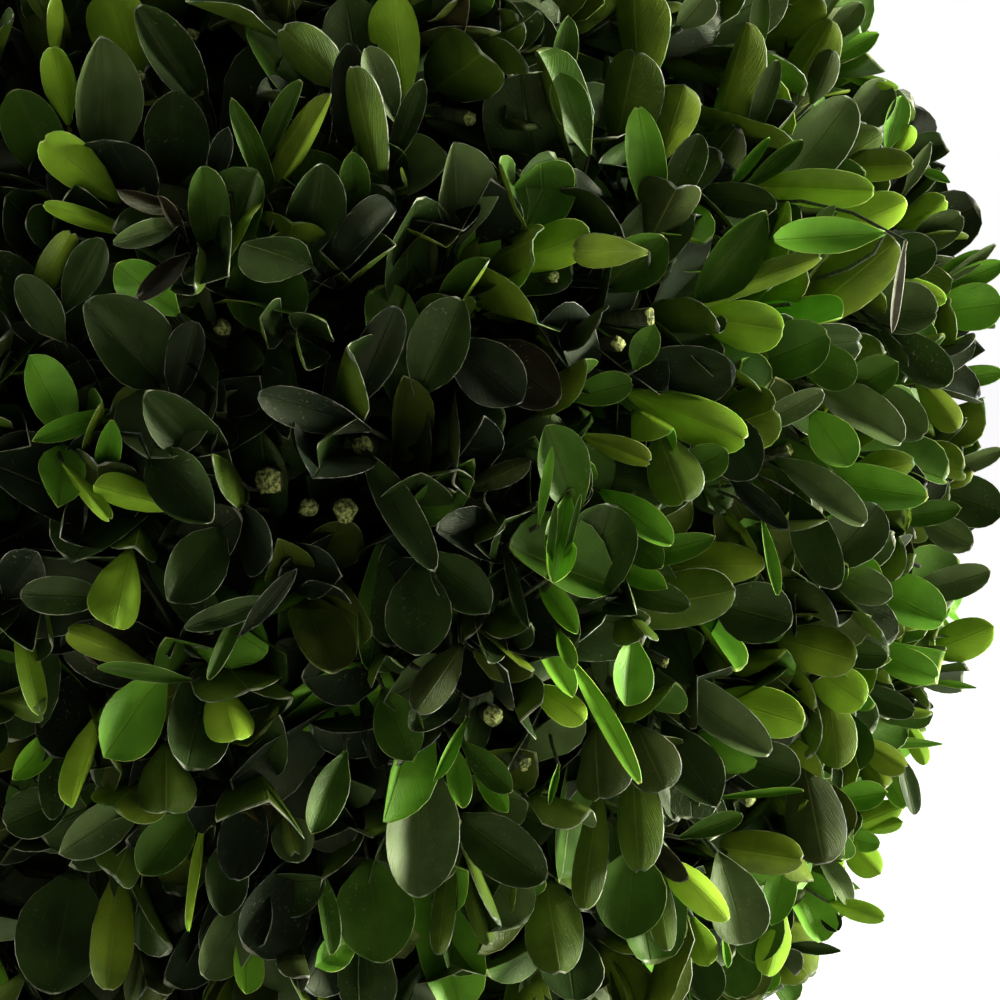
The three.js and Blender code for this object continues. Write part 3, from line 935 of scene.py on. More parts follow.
UNDER = Face.UNDER
DEEP, BLACKISH, GREYED, MID, OLIVE, LIME, BROWNISH, DRY, YOUNG = Tint
# Each standing leaf's tint holds painted light and shade as well as its own colour: brighter tints on leaves
# in the light at the right, darker ones where shade falls, and GREYED partly as a painted grey sheen.
BLADES = (
    Blade((102, 146), (101, 36), 68, GREYED, lift=1, fold=24, lit=12),
    Blade((108, 192), (43, 139), 46, LIME, UNDER, 3),
    Blade((66, 112), (52, 47), 34, LIME, UNDER, 1),
    Blade((55, 52), (56, -4), 18, YOUNG, UNDER, lit=30),
    Blade((52, 170), (12, 90), 58, MID, lift=-4),
    Blade((140, 86), (108, -8), 62, LIME, UNDER, -5),
    Blade((196, 96), (136, 5), 48, DEEP, fold=24, roll=8),
    Blade((180, 182), (176, 90), 66, DEEP, lift=-5),
    Blade((266, 156), (303, 80), 26, MID, fold=35, roll=-25),
    Blade((272, 192), (330, 95), 30, OLIVE, UNDER, 2, 30, roll=10),
    Blade((270, 190), (232, 99), 24, MID, fold=30),
    Blade((338, 80), (281, 27), 48, DEEP, UNDER, lit=-15),
    Blade((403, 86), (391, -6), 52, LIME, UNDER, -1),
    Blade((392, 110), (366, 46), 36, GREYED, lift=1, lit=15),
    Blade((379, 182), (353, 66), 40, DEEP, UNDER, 2, 20, lit=-15),
    Blade((396, 152), (423, 79), 26, DEEP, fold=25),
    Blade((212, 246), (202, 166), 44, MID, roll=15),
    Blade((308, 258), (322, 163), 60, DEEP),
    Blade((300, 262), (243, 243), 66, DEEP, lift=3, roll=-30),
    Blade((458, 228), (454, 142), 66, GREYED, fold=14, lit=25),
    Blade((168, 306), (116, 264), 50, LIME, lift=2, roll=-15, lit=10),
    Blade((150, 372), (84, 300), 80, DEEP, fold=26, roll=15),
    Blade((66, 424), (30, 356), 50, LIME, lit=10),
    Blade((218, 462), (146, 391), 56, DEEP, fold=24, lift=1),
    Blade((352, 424), (258, 394), 44, BLACKISH, lift=1, roll=-30),
    Blade((424, 380), (462, 298), 62, DEEP, fold=14),
    Blade((358, 394), (396, 306), 46, BLACKISH, lift=-2),
    Blade((640, 80), (634, -16), 62, MID, UNDER, -4, roll=-30),
    Blade((618, 146), (636, 51), 68, DEEP, UNDER, -2, roll=-30),
    Blade((584, 142), (560, 73), 38, MID, lift=-2, lit=20),
    Blade((560, 84), (568, 17), 26, MID, lift=-3, lit=10),
    Blade((664, 150), (684, 86), 48, OLIVE, UNDER, -1),
    Blade((712, 158), (748, 22), 52, OLIVE, UNDER, roll=-35, fold=20),
    Blade((786, 184), (851, 98), 60, GREYED, roll=10),
    Blade((653, 206), (638, 106), 40, LIME, lift=3),
    Blade((668, 206), (700, 134), 36, DEEP, lift=1),
    Blade((832, 36), (862, 3), 26, GREYED),
    Blade((838, 56), (879, 33), 20, LIME, blunt=1.5, lit=25),
    Blade((850, 130), (888, 82), 42, GREYED, lit=20),
    Blade((836, 168), (914, 164), 34, OLIVE, UNDER),
    Blade((908, 186), (931, 142), 16, GREYED, blunt=1.4, lit=15),
    Blade((768, 186), (874, 191), 40, LIME, UNDER, 2),
    Blade((836, 228), (909, 200), 42, YOUNG, UNDER, 1, lit=25),
    Blade((704, 288), (765, 212), 50, MID, lift=4, cup=0.9, fold=20, roll=15),
    Blade((866, 234), (770, 240), 38, LIME, lift=2, fold=25, lit=20),
    Blade((678, 307), (822, 256), 27, MID, UNDER, 4, 30),
    Blade((803, 318), (896, 240), 62, OLIVE, UNDER, 2),
    Blade((636, 252), (573, 250), 36, OLIVE, UNDER, 2, 20),
    Blade((612, 282), (666, 236), 54, MID, fold=20),
    Blade((512, 262), (590, 233), 48, LIME, UNDER, fold=18),
    Blade((706, 318), (783, 330), 52, LIME, UNDER, 1),
    Blade((757, 364), (829, 334), 58, MID),
    Blade((858, 306), (938, 313), 54, GREYED, lift=1),
    Blade((936, 312), (1002, 303), 48, LIME, lit=15),
    Blade((942, 281), (997, 243), 14, GREYED, blunt=1.5, lit=35),
    Blade((642, 398), (746, 440), 50, LIME, UNDER, 4, 24),
    Blade((573, 500), (546, 425), 54, MID, lift=1, fold=18),
    Blade((578, 396), (633, 382), 34, MID, lift=2),
    Blade((755, 425), (824, 391), 28, GREYED, lift=2, lit=25),
    Blade((828, 396), (903, 444), 46, GREYED, lift=1, lit=35),
    Blade((128, 560), (114, 626), 56, LIME, UNDER, 4, lit=15),
    Blade((156, 686), (104, 757), 66, LIME, lift=3, lit=25),
    Blade((262, 602), (184, 628), 26, DEEP, lift=2, fold=25),
    Blade((244, 606), (208, 680), 18, MID, lift=2),
    Blade((220, 690), (236, 740), 50, YOUNG, UNDER, 1, lit=20),
    Blade((133, 806), (59, 854), 46, GREYED, lift=2, lit=20),
    Blade((421, 776), (418, 898), 76, GREYED, lift=3, fold=22, roll=-8, lit=10),
    Blade((418, 578), (421, 657), 68, DEEP, lift=1),
    Blade((370, 876), (383, 963), 80, MID),
    Blade((244, 914), (202, 979), 56, GREYED, lift=1, lit=32),
    Blade((350, 942), (316, 966), 34, LIME),
    Blade((202, 834), (189, 932), 16, YOUNG, UNDER, 2, lit=42),
    Blade((20, 628), (41, 715), 26, LIME, UNDER, 1),
    Blade((388, 700), (412, 760), 50, MID),
    Blade((600, 582), (507, 545), 82, MID, lift=-3, cup=0.6, roll=24, blunt=3, lit=5),
    Blade((582, 590), (612, 503), 74, DEEP, lift=1, cup=0.9, blunt=3),
    Blade((535, 628), (572, 696), 28, YOUNG, lift=3, lit=20),
    Blade((632, 646), (626, 706), 46, LIME, lift=4, lit=28),
    Blade((576, 672), (640, 784), 22, YOUNG, lift=7, lit=32),
    Blade((618, 562), (714, 537), 30, MID, lift=2, fold=24),
    Blade((660, 566), (766, 564), 46, OLIVE, UNDER, lit=15),
    Blade((612, 614), (734, 590), 58, DEEP, UNDER, 1),
    Blade((724, 606), (792, 624), 64, DEEP, lift=1),
    Blade((662, 674), (770, 754), 44, GREYED, lift=3, lit=12),
    Blade((722, 700), (804, 724), 50, LIME, UNDER, 1),
    Blade((634, 775), (640, 872), 50, DEEP, UNDER, 2, roll=20),
    Blade((668, 866), (731, 922), 38, YOUNG, UNDER, 4, lit=35),
    Blade((722, 868), (744, 945), 62, GREYED, lift=4, arch=-10, lit=28),
    Blade((634, 862), (626, 938), 72, MID),
    Blade((805, 772), (824, 864), 60, BLACKISH, UNDER, 3),
    Blade((736, 756), (800, 776), 50, DEEP, lift=2),
    Blade((672, 735), (716, 806), 56, DEEP, lift=1, blunt=1.6),
    Blade((880, 590), (944, 622), 52, LIME, lift=1, lit=20),
    Blade((936, 650), (993, 627), 42, LIME, UNDER),
    Blade((938, 682), (977, 688), 8, LIME, blunt=1.4, lit=20),
    Blade((866, 741), (943, 744), 12, LIME, lift=3, blunt=1.4, lit=20),
    Blade((838, 905), (885, 919), 22, LIME, UNDER),
    Blade((793, 946), (841, 951), 14, DEEP, blunt=1.5),
    Blade((797, 876), (822, 942), 50, LIME, lit=25),
    Blade((566, 506), (556, 566), 30, LIME, lift=4, fold=20),
    Blade((558, 540), (553, 583), 32, YOUNG, lift=9, fold=14, cup=1.0, blunt=2.8, lit=25),
    Blade((549, 566), (556, 502), 9, MID, lift=8, fold=20),
    Blade((565, 560), (581, 494), 7, MID, lift=8, fold=20),
    Blade((572, 500), (563, 446), 44, BLACKISH, lift=-1, fold=25),
    Blade((541, 512), (552, 448), 11, LIME, lift=5, fold=30),
    Blade((800, 478), (927, 497), 46, LIME, lift=4, lit=15),
    Blade((845, 393), (897, 363), 42, MID, lift=1),
    Blade((800, 352), (856, 380), 44, MID, lift=1),
    Blade((890, 335), (950, 384), 44, DEEP, lift=2),
    Blade((945, 380), (1003, 372), 22, LIME),
    Blade((922, 385), (958, 430), 32, OLIVE, UNDER),
    Blade((872, 392), (925, 436), 46, GREYED),
    Blade((945, 472), (1003, 449), 20, GREYED, lift=2, lit=25),
    Blade((932, 488), (1003, 512), 52, DEEP, lift=2),
    Blade((900, 518), (960, 508), 26, MID),
    Blade((928, 522), (973, 546), 34, GREYED, lift=1),
    Blade((922, 590), (990, 571), 34, GREYED, lift=1, lit=20),
    Blade((880, 655), (938, 679), 34, LIME, lift=1, lit=25),
    Blade((785, 640), (856, 660), 50, OLIVE, UNDER, 2),
    Blade((812, 668), (864, 704), 46, LIME, UNDER, 1),
    Blade((840, 652), (888, 656), 30, DEEP, lift=1),
    Blade((828, 574), (892, 596), 38, GREYED, lift=2, lit=25),
    Blade((858, 690), (915, 713), 28, DEEP, lift=1),
    Blade((885, 265), (936, 246), 46, DEEP, lift=1),
    Blade((905, 224), (947, 199), 32, LIME, UNDER, lit=10),
    Blade((914, 248), (962, 214), 34, GREYED),
    Blade((940, 273), (984, 252), 18, LIME, lit=25),
    Blade((950, 286), (1003, 263), 24, LIME),
    Blade((900, 284), (946, 301), 24, YOUNG, UNDER),
    Blade((903, 256), (892, 332), 12, DRY, lift=9, lit=30),
    Blade((172, 208), (118, 190), 22, BROWNISH, lift=6, fold=25, roll=-30),
    Blade((168, 226), (112, 243), 26, GREYED, lift=6, fold=20),
    Blade((182, 232), (158, 196), 14, BROWNISH, lift=7, fold=25),
    Blade((180, 262), (136, 300), 24, BROWNISH, lift=4, fold=20),
    Blade((712, 846), (803, 860), 44, OLIVE, UNDER, 1),
    Blade((784, 868), (772, 924), 34, LIME, lit=15),
    Blade((822, 862), (850, 906), 26, GREYED, lift=1, lit=45),
    Blade((848, 842), (880, 873), 34, LIME, UNDER),
    Blade((768, 905), (752, 962), 50, MID),
    Blade((782, 925), (767, 976), 34, LIME, UNDER, 4, lit=8),
    Blade((730, 945), (742, 999), 50, MID),
    Blade((862, 745), (907, 768), 30, OLIVE, UNDER, 1),
    Blade((882, 772), (906, 808), 24, YOUNG, lit=20),
    Blade((902, 764), (914, 815), 24, DEEP, lift=-1, roll=-30, lit=8),
    Blade((842, 832), (902, 807), 28, LIME, UNDER, 1),
    Blade((836, 800), (886, 792), 30, LIME),
    Blade((108, 414), (32, 441), 24, LIME, lift=1, fold=30, lit=20),
    Blade((104, 476), (112, 418), 26, LIME, fold=30),
    Blade((160, 460), (212, 522), 60, DEEP, lift=2, fold=20, cup=0.9),
    Blade((168, 506), (95, 486), 34, LIME, UNDER, 3, 20),
    Blade((62, 455), (58, 506), 48, LIME, lift=2),
    Blade((70, 472), (110, 520), 18, LIME, UNDER, 4, 30),
    Blade((10, 590), (38, 552), 50, BLACKISH),
    Blade((94, 596), (20, 594), 40, DEEP, lift=5),
    Blade((215, 540), (168, 601), 60, DEEP, lift=1, fold=20),
    Blade((250, 624), (296, 570), 20, BLACKISH, lift=3, fold=30),
    Blade((138, 660), (68, 632), 30, OLIVE, UNDER, 3, 30, lit=10),
    Blade((176, 678), (97, 668), 18, MID, lift=3, fold=35),
    Blade((0, 700), (42, 710), 30, DEEP, UNDER, 2, lit=-30),
    Blade((50, 740), (12, 780), 30, YOUNG, fold=30, lit=25),
    Blade((98, 724), (72, 806), 30, YOUNG, UNDER, 2, 25, lit=25),
    Blade((166, 752), (166, 812), 60, DEEP, UNDER, 2, 25),
    Blade((62, 800), (4, 826), 50, DEEP),
    Blade((54, 752), (52, 820), 30, DEEP, lift=1),
    Blade((185, 822), (140, 874), 50, MID),
    Blade((250, 806), (234, 881), 50, BLACKISH, lift=1),
    Blade((228, 850), (224, 917), 44, DEEP),
    Blade((118, 884), (108, 990), 44, OLIVE, UNDER, 1),
    Blade((70, 890), (50, 994), 90, DEEP, lift=-1),
    Blade((246, 940), (246, 994), 34, YOUNG, lift=2, lit=25),
    Blade((214, 176), (228, 128), 24, BLACKISH, lift=1),
    Blade((350, 150), (352, 42), 40, BLACKISH, lift=-1, lit=-20),
    Blade((356, 60), (345, -4), 60, DEEP, lift=-3),
    Blade((356, 210), (352, 152), 32, MID),
    Blade((122, 230), (44, 204), 20, LIME, UNDER, 3, 30),
    Blade((38, 292), (72, 232), 32, OLIVE, UNDER, fold=20),
    Blade((70, 300), (102, 238), 40, DEEP, lift=-1),
    Blade((56, 330), (18, 276), 40, DEEP, lift=1),
    Blade((178, 390), (196, 320), 40, BLACKISH, lift=-2, roll=-20),
    Blade((462, 350), (522, 402), 64, BLACKISH, lift=1),
    Blade((500, 352), (560, 402), 60, BROWNISH),
    Blade((374, 468), (434, 570), 38, DEEP, lift=3, lit=10),
    Blade((472, 487), (530, 462), 26, BLACKISH, UNDER, 1),
    Blade((440, 562), (488, 612), 50, DEEP, lift=2),
    Blade((507, 558), (529, 627), 14, DEEP, lift=4, fold=35),
    Blade((545, 590), (577, 634), 26, YOUNG, lift=4, fold=25, lit=20),
    Blade((612, 500), (672, 545), 34, LIME, lift=3, fold=30, lit=20),
    Blade((628, 536), (662, 568), 36, MID, lift=3),
    Blade((620, 570), (666, 588), 26, LIME, lift=4),
    Blade((614, 582), (690, 606), 34, DEEP, lift=3),
    Blade((590, 438), (650, 462), 26, OLIVE, UNDER, 3, 30),
    Blade((660, 440), (685, 503), 56, DEEP, UNDER, 1),
    Blade((690, 470), (727, 450), 40, MID, lift=2),
    Blade((638, 362), (654, 325), 30, MID, lift=4),
    Blade((455, 655), (416, 712), 40, BLACKISH, UNDER, 2),
    Blade((452, 702), (410, 730), 36, DEEP, lift=-1, lit=-38),
    Blade((470, 750), (512, 792), 30, MID, lift=3),
    Blade((455, 755), (463, 808), 26, LIME, lift=3, lit=15),
    Blade((480, 770), (508, 812), 24, LIME, lift=2),
    Blade((462, 728), (434, 780), 14, LIME, lift=3, fold=35, lit=10),
    Blade((340, 765), (312, 833), 38, MID, lift=2, lit=15),
    Blade((470, 826), (546, 880), 60, DEEP, lift=1, fold=20),
    Blade((548, 892), (560, 974), 60, DEEP, UNDER, 1, lit=-15),
    Blade((598, 806), (583, 910), 36, DEEP, UNDER, 1, lit=-15),
    Blade((655, 868), (668, 951), 30, DEEP, UNDER, 1),
    Blade((540, 690), (585, 722), 34, YOUNG, UNDER, 4, lit=20),
    Blade((557, 772), (549, 805), 8, LIME, lift=3, fold=30),
    Blade((560, 636), (573, 670), 18, YOUNG, lift=8, lit=35),
    Blade((596, 735), (600, 800), 60, BLACKISH, UNDER, roll=25),
    Blade((640, 735), (665, 790), 56, BLACKISH, UNDER),
    Blade((450, 860), (438, 955), 26, DEEP, UNDER, lit=-15),
    Blade((462, 862), (490, 945), 22, DEEP, UNDER, 1, 30),
    Blade((322, 882), (330, 955), 24, MID, lit=28),
    Blade((790, 470), (866, 525), 36, GREYED, lift=4, lit=35),
    Blade((830, 560), (878, 505), 60, DEEP, lift=2, lit=5),
    Blade((818, 420), (850, 466), 46, LIME, lift=1),
    Blade((800, 510), (838, 588), 46, DEEP, lift=2),
    Blade((738, 484), (788, 528), 24, BLACKISH, lift=3, fold=30),
    Blade((725, 425), (755, 478), 56, BLACKISH),
    Blade((764, 530), (777, 596), 14, LIME, lift=3, fold=30, lit=20),
    Blade((758, 45), (762, -10), 20, GREYED, fold=25),
    Blade((785, 103), (832, 20), 50, OLIVE, UNDER, -1, roll=-20),
    Blade((815, 95), (833, 50), 30, BLACKISH, UNDER),
    Blade((846, 76), (900, 88), 14, LIME, UNDER, -1, 30, lit=20),
    Blade((888, 142), (902, 96), 26, LIME, fold=10, lit=30),
    Blade((898, 150), (910, 125), 26, LIME, UNDER, -1),
    Blade((736, 180), (771, 137), 12, LIME, fold=40, lift=3),
    Blade((752, 183), (803, 140), 20, MID, fold=35, lift=2),
    Blade((750, 140), (778, 60), 22, GREYED, lift=1, fold=20),
    Blade((925, 172), (950, 183), 12, LIME, blunt=1.4, lit=20),
    Blade((700, 195), (777, 205), 36, DEEP, lift=-1),
    Blade((815, 225), (835, 205), 14, GREYED, lift=4, blunt=1.5, lit=20),
    Blade((725, 797), (804, 791), 9, LIME, lift=5, fold=30),
    Blade((690, 834), (743, 815), 22, MID, lift=1, fold=30),
    Blade((830, 705), (838, 768), 46, MID, UNDER, 1),
    Blade((850, 722), (860, 770), 24, MID, lift=2, fold=35, lit=20),
    Blade((905, 720), (925, 765), 20, LIME, UNDER, -1),
    Blade((870, 830), (902, 822), 16, LIME, UNDER),
    Blade((850, 838), (880, 845), 22, LIME, lit=20),
    Blade((724, 940), (727, 968), 10, LIME, lift=3, lit=35),
    Blade((695, 925), (708, 965), 30, LIME, UNDER),
    Blade((700, 960), (712, 1003), 40, DEEP, lift=1),
    Blade((760, 970), (772, 992), 30, LIME),
    Blade((825, 912), (838, 932), 20, BLACKISH),
)
CUT_ENDS = (
    CutEnd((191, 33), 9), CutEnd((442, 364), 13, 6), CutEnd((464, 360), 9, 6), CutEnd((363, 446), 11, 6),
    CutEnd((268, 481), 14, 5), CutEnd((345, 510), 13, 5), CutEnd((309, 507), 10, 3),
    CutEnd((223, 328), 9, 4), CutEnd((145, 351), 8, 6), CutEnd((470, 118), 9, 4),
    CutEnd((650, 317), 10, 8), CutEnd((618, 344), 8, 6), CutEnd((554, 277), 6, 8),
    CutEnd((789, 448), 7, 6), CutEnd((448, 691), 10, 8), CutEnd((493, 717), 11, 8),
    CutEnd((454, 822), 7, 8), CutEnd((750, 801), 8, 8), CutEnd((525, 765), 8, 7),
    CutEnd((592, 645), 5, 8), CutEnd((666, 663), 5, 8), CutEnd((623, 696), 7, 9),
)


@dataclass
class Growth:
    """Everything that grows from the boughs to the shoots' tips, by the solids' rule carried further.

    The main twigs come first, dealt over the ball by the golden angle. Shoots fork from them to the clipped
    round. The leaves and cut ends that stand out in the photograph each get a shoot of their own from the
    nearest twig. The stubs' radii are in millimetres, and the edge kept free round a cut end is in pixels.
    """

    plan: Plan
    boughs: list[Bough]
    camera: Camera
    seed: int = 41
    shoot_count: int = 800
    shoot_turn: float = 1.3
    fork_radius: float = 120 * MM
    tip_radius: float = 141 * MM
    tip_scatter: float = 4.5 * MM
    tip_range: tuple[float, float] = (-9 * MM, 7 * MM)
    side_scatter: float = 0.022
    tilt: float = 0.2
    fan: float = 0.35
    sweep: float = 0.45
    trunk_clear: float = 24 * MM
    twig_radius: tuple[float, float] = (2.4 * MM, 1.2 * MM)
    twig_points: int = 9
    first_fork: int = 4
    usual_fork: int = 5
    shoot_points: int = 7
    outer_point: int = 3
    stem_radius: float = 0.5 * MM
    stem_end: float = 0.7
    stem_taper: float = 0.5
    stem_range: float = 0.3
    seen_thinness: float = 0.8
    stub_share: float = 0.07
    stub_radius: tuple[float, float] = (0.9, 1.7)
    stub_stray: float = 30 * MM
    stub_neck: float = 0.85
    stub_taper: float = 0.15
    stub_swell: float = 1.15
    blade_tuck: float = 0.2
    blade_cover: float = 0.27
    blade_slant: float = 1.12
    blade_length: tuple[float, float] = (14 * MM, 30 * MM)
    blade_level: float = 0.85
    blade_pull: float = 0.8
    shoot_spacing: float = 6.5 * MM
    blade_tip: float = 154 * MM
    cut_radius: float = 137 * MM
    cut_rough: float = 0.16 * MM
    rough_reach: float = 3 * MM
    cut_edge: int = 4
    pixel_size: float = 0.163 * MM

    def __post_init__(self) -> None:
        """Work out the main twigs, then what stands out in the photograph, then all the shoots."""
        self.rng = np.random.default_rng(self.seed)
        self._place_twigs()
        self._place_seen()
        self._frame_seen()
        self._place_shoots()

    def _place_twigs(self) -> None:
        """Deal the twigs' ends over the ball by the golden angle, each owned by the nearest bough."""
        k = np.arange(self.plan.twig_count)
        self.twig_ways = even_ways(len(k), stray(self.plan.twig_shift, k, 3))
        ways = np.array([bough.way for bough in self.boughs])
        stems = ways[np.argmax(self.twig_ways @ ways.T, axis=1)]
        lean = np.stack([stray(self.plan.twig_tilt, k, key) for key in (4, 5, 6)], axis=1)
        axes = unit(self.twig_ways + lean)
        roots = self.plan.on_way(stems, self.plan.heart_distance(stems) - self.plan.stem_out)
        ends = self.plan.on_way(self.twig_ways, self.fork_radius)
        reach = np.linalg.norm(ends - roots, axis=1, keepdims=True) * self.sweep
        controls = [roots, roots + stems * reach, ends - axes * reach, ends]
        self.twig_paths = bezier(controls, self.twig_points)

    def _place_shoots(self) -> None:
        """Deal the shoots' tips over the clipped round, each fanned outwards from the twig it forks from."""
        count = self.shoot_count
        even = even_ways(count, self.shoot_turn)
        ways = unit(even + self.rng.normal(0, self.side_scatter, (count, 3)))
        radius = self.tip_radius + self.rng.normal(0, self.tip_scatter, count).clip(*self.tip_range)
        tips = self.plan.on_way(ways, radius)
        clear = (np.hypot(tips[:, 0], tips[:, 1]) > self.trunk_clear) | (ways[:, 2] > 0)
        seen = np.concatenate([self.blade_roots, self.cut_tips])
        gap = np.linalg.norm(tips[:, None] - seen[None], axis=2).min(axis=1)
        clear &= gap > self.shoot_spacing
        self.ways, self.tips = ways[clear], tips[clear]
        nearest = np.argmax(self.ways @ self.twig_ways.T, axis=1)
        fanned = unit(self.tips - self.twig_paths[nearest, self.usual_fork])
        lean = self.rng.normal(0, self.tilt, self.tips.shape)
        self.axes = unit(self.ways * (1 - self.fan) + fanned * self.fan + lean)
        held = np.any([window.holds(*self.camera.pixels(self.tips)) for window in self.windows], axis=0)
        self.is_stub = (self.rng.random(len(self.tips)) < self.stub_share) & ~held
        reach = unit(self.blade_tips - self.blade_roots)
        outward = unit(self.blade_roots - self.plan.middle)
        self.is_seen = np.arange(len(self.tips) + len(reach)) >= len(self.tips)
        self.is_stub = np.concatenate([self.is_stub, np.zeros(len(reach), bool)])
        self.ways = np.concatenate([self.ways, outward])
        self.tips = np.concatenate([self.tips, self.blade_roots])
        self.axes = np.concatenate([self.axes, unit(outward + reach * self.blade_pull)])

    def _place_seen(self) -> None:
        """Place the leaves and cut ends that stand out in the photograph.

        What shows of a leaf is its outer part, so its real root lies further back along the leaf, and so far
        behind the tip that the leaf has its true length. Near the plant's outline, where a leaf is seen from
        the side, the root lies less far behind.
        """
        camera = self.camera
        roots, tips = [], []
        for blade in BLADES:
            seen, end = np.array(blade.root), np.array(blade.tip)
            tip = camera.on_ball(end, self.blade_tip + blade.lift * MM)
            sight = camera.sight(seen + (seen - end) * self.blade_tuck)
            beside = camera.eye + sight * (sight @ (tip - camera.eye))
            flat = np.linalg.norm(beside - tip)
            length = max(flat, np.clip(flat * self.blade_slant, *self.blade_length))
            out = unit(tip - self.plan.middle)
            turned_off = 1 - self.blade_level * (1 - (out @ camera.ahead) ** 2)
            roots.append(beside + sight * np.sqrt(length**2 - flat**2) * turned_off)
            tips.append(tip)
        self.blade_roots, self.blade_tips = np.array(roots), np.array(tips)
        self.cut_tips = np.array([camera.on_ball(c.pixel, self.cut_radius + c.lift * MM) for c in CUT_ENDS])

    def _frame_seen(self) -> None:
        """List what has to stay in sight: each standing leaf's outer part and each cut end."""
        self.windows = []
        spots, depth = self.camera.pixels(np.stack([self.blade_roots, self.blade_tips], axis=1))
        hidden = self.blade_tuck + self.blade_cover
        for blade, (root, end), (near, far) in zip(BLADES, spots, depth):
            start = root + (end - root) * hidden
            self.windows.append(Window(start, end, blade.width, near + (far - near) * hidden, far))
        spots, depth = self.camera.pixels(self.cut_tips)
        for end, spot, limit in zip(CUT_ENDS, spots, depth):
            radius = end.radius + self.cut_edge
            reach = np.array([0.0, radius])
            self.windows.append(Window(spot - reach, spot + reach, 2 * radius, limit, limit))

    def _grown(self, tips: np.ndarray, axes: np.ndarray) -> np.ndarray:
        """Curve a shoot to each tip, along its axis there, from the last part of the nearest main twig.

        Args:
            tips: The shoots' tips.
            axes: The directions that they point in there.

        Returns:
            The shoots' paths.
        """
        ways = unit(tips - self.plan.middle)
        nearest = np.argmax(ways @ self.twig_ways.T, axis=1)
        roots = self.twig_paths[nearest, self.rng.integers(self.first_fork, self.twig_points, len(tips))]
        reach = np.linalg.norm(tips - roots, axis=1, keepdims=True) * self.sweep
        return bezier([roots, tips - axes * reach, tips], self.shoot_points)

    def make(self, bark: bpy.types.Material, cut: bpy.types.Material) -> list[bpy.types.Object]:
        """Make the twigs, the shoots and the cut stubs, each kind as one piece.

        Args:
            bark: The twigs' material.
            cut: The material of cut ends.

        Returns:
            The pieces.
        """
        twig_radii = np.linspace(*self.twig_radius, self.twig_points)[None]
        twig_radii = twig_radii.repeat(len(self.twig_paths), axis=0)
        taper = np.linspace(1, 0, self.shoot_points)[None]
        green = ~self.is_stub
        plain_tips, plain_axes = self.tips[green], self.axes[green]
        girth = self.rng.random((len(plain_tips), 1))
        plain_radii = self.stem_radius * (self.stem_end + self.stem_taper * taper + self.stem_range * girth)
        plain_radii[self.is_seen[green]] *= self.seen_thinness
        stub_tips = np.concatenate([self.tips[self.is_stub], self.cut_tips])
        stub_axes = unit(stub_tips - self.plan.middle + self.rng.normal(0, self.stub_stray, stub_tips.shape))
        stub_ends = np.concatenate([
            self.rng.uniform(*self.stub_radius, int(self.is_stub.sum())) * MM,
            [end.radius * self.pixel_size for end in CUT_ENDS],
        ])
        stub_radii = stub_ends[:, None] * (self.stub_neck - self.stub_taper * taper)
        stub_radii[:, -1] *= self.stub_swell
        stubs = tubes(self._grown(stub_tips, stub_axes), stub_radii, sides=12, dome=0.45)
        gap = np.linalg.norm(stubs.points[:, None] - stub_tips[None], axis=2).min(axis=1)
        is_end = gap < self.rough_reach
        stubs.points[is_end] += self.rng.normal(0, self.cut_rough, (int(is_end.sum()), 3))
        plain_paths = self._grown(plain_tips, plain_axes)
        spots, depth = self.camera.pixels(plain_paths[:, self.outer_point:])
        hides = np.any([window.holds(spots, depth).any(axis=1) for window in self.windows], axis=0)
        kept = ~hides | self.is_seen[green]
        shoots = tubes(plain_paths[kept], plain_radii[kept], sides=6, dome=0.35)
        shoots.finishes[:] = 0
        twigs = tubes(self.twig_paths, twig_radii, sides=7)
        pieces = []
        for name, surface in (("twigs", twigs), ("shoots", shoots), ("cut_stubs", stubs)):
            piece = surface.make(name, [bark, cut])
            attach(piece, "root")
            pieces.append(piece)
        return pieces


@dataclass(frozen=True)
class Weave:
    """The mesh of one leaf: rows along it, and columns across it on its upper and its under face.

    A row's place runs from 0 at the root over 1 at the widest part to 2 at the tip. The outer columns of a
    leaf with a margin bound its pale edge, whose width is real and not a share.
    """

    rows: tuple[float, ...]
    columns: tuple[float, ...]
    has_margin: bool

    def pattern(self) -> tuple[np.ndarray, np.ndarray, np.ndarray, np.ndarray]:
        """Number the faces of one leaf.

        Returns:
            Corners, face sizes, finishes (0 upper, 1 under, 2 margin), and each corner's row and column.
        """
        rows, tops = len(self.rows), len(self.columns)
        width = 2 * tops - 2
        faces, finishes = [], []
        under = [0, *range(tops, width), tops - 1]
        for row in range(rows - 1):
            here, after = row * width, (row + 1) * width
            is_tip = self.has_margin and row == rows - 2
            for c in range(tops - 1):
                is_edge = is_tip or (self.has_margin and c in (0, tops - 2))
                faces.append([here + c, here + c + 1, after + c + 1, after + c])
                finishes.append(2 if is_edge else 0)
                left, right = under[c], under[c + 1]
                faces.append([here + left, after + left, after + right, here + right])
                finishes.append(2 if is_edge else 1)
        last = (rows - 1) * width
        faces.append([*range(tops - 1, -1, -1), *under[1:-1]])
        faces.append([*(last + c for c in range(tops)), *(last + c for c in under[-2:0:-1])])
        finishes += [1, 2 if self.has_margin else 1]
        corners = np.array([corner for face in faces for corner in face])
        sizes = np.array([len(face) for face in faces])
        return corners, sizes, np.array(finishes), np.stack([corners // width, corners % width], axis=1)


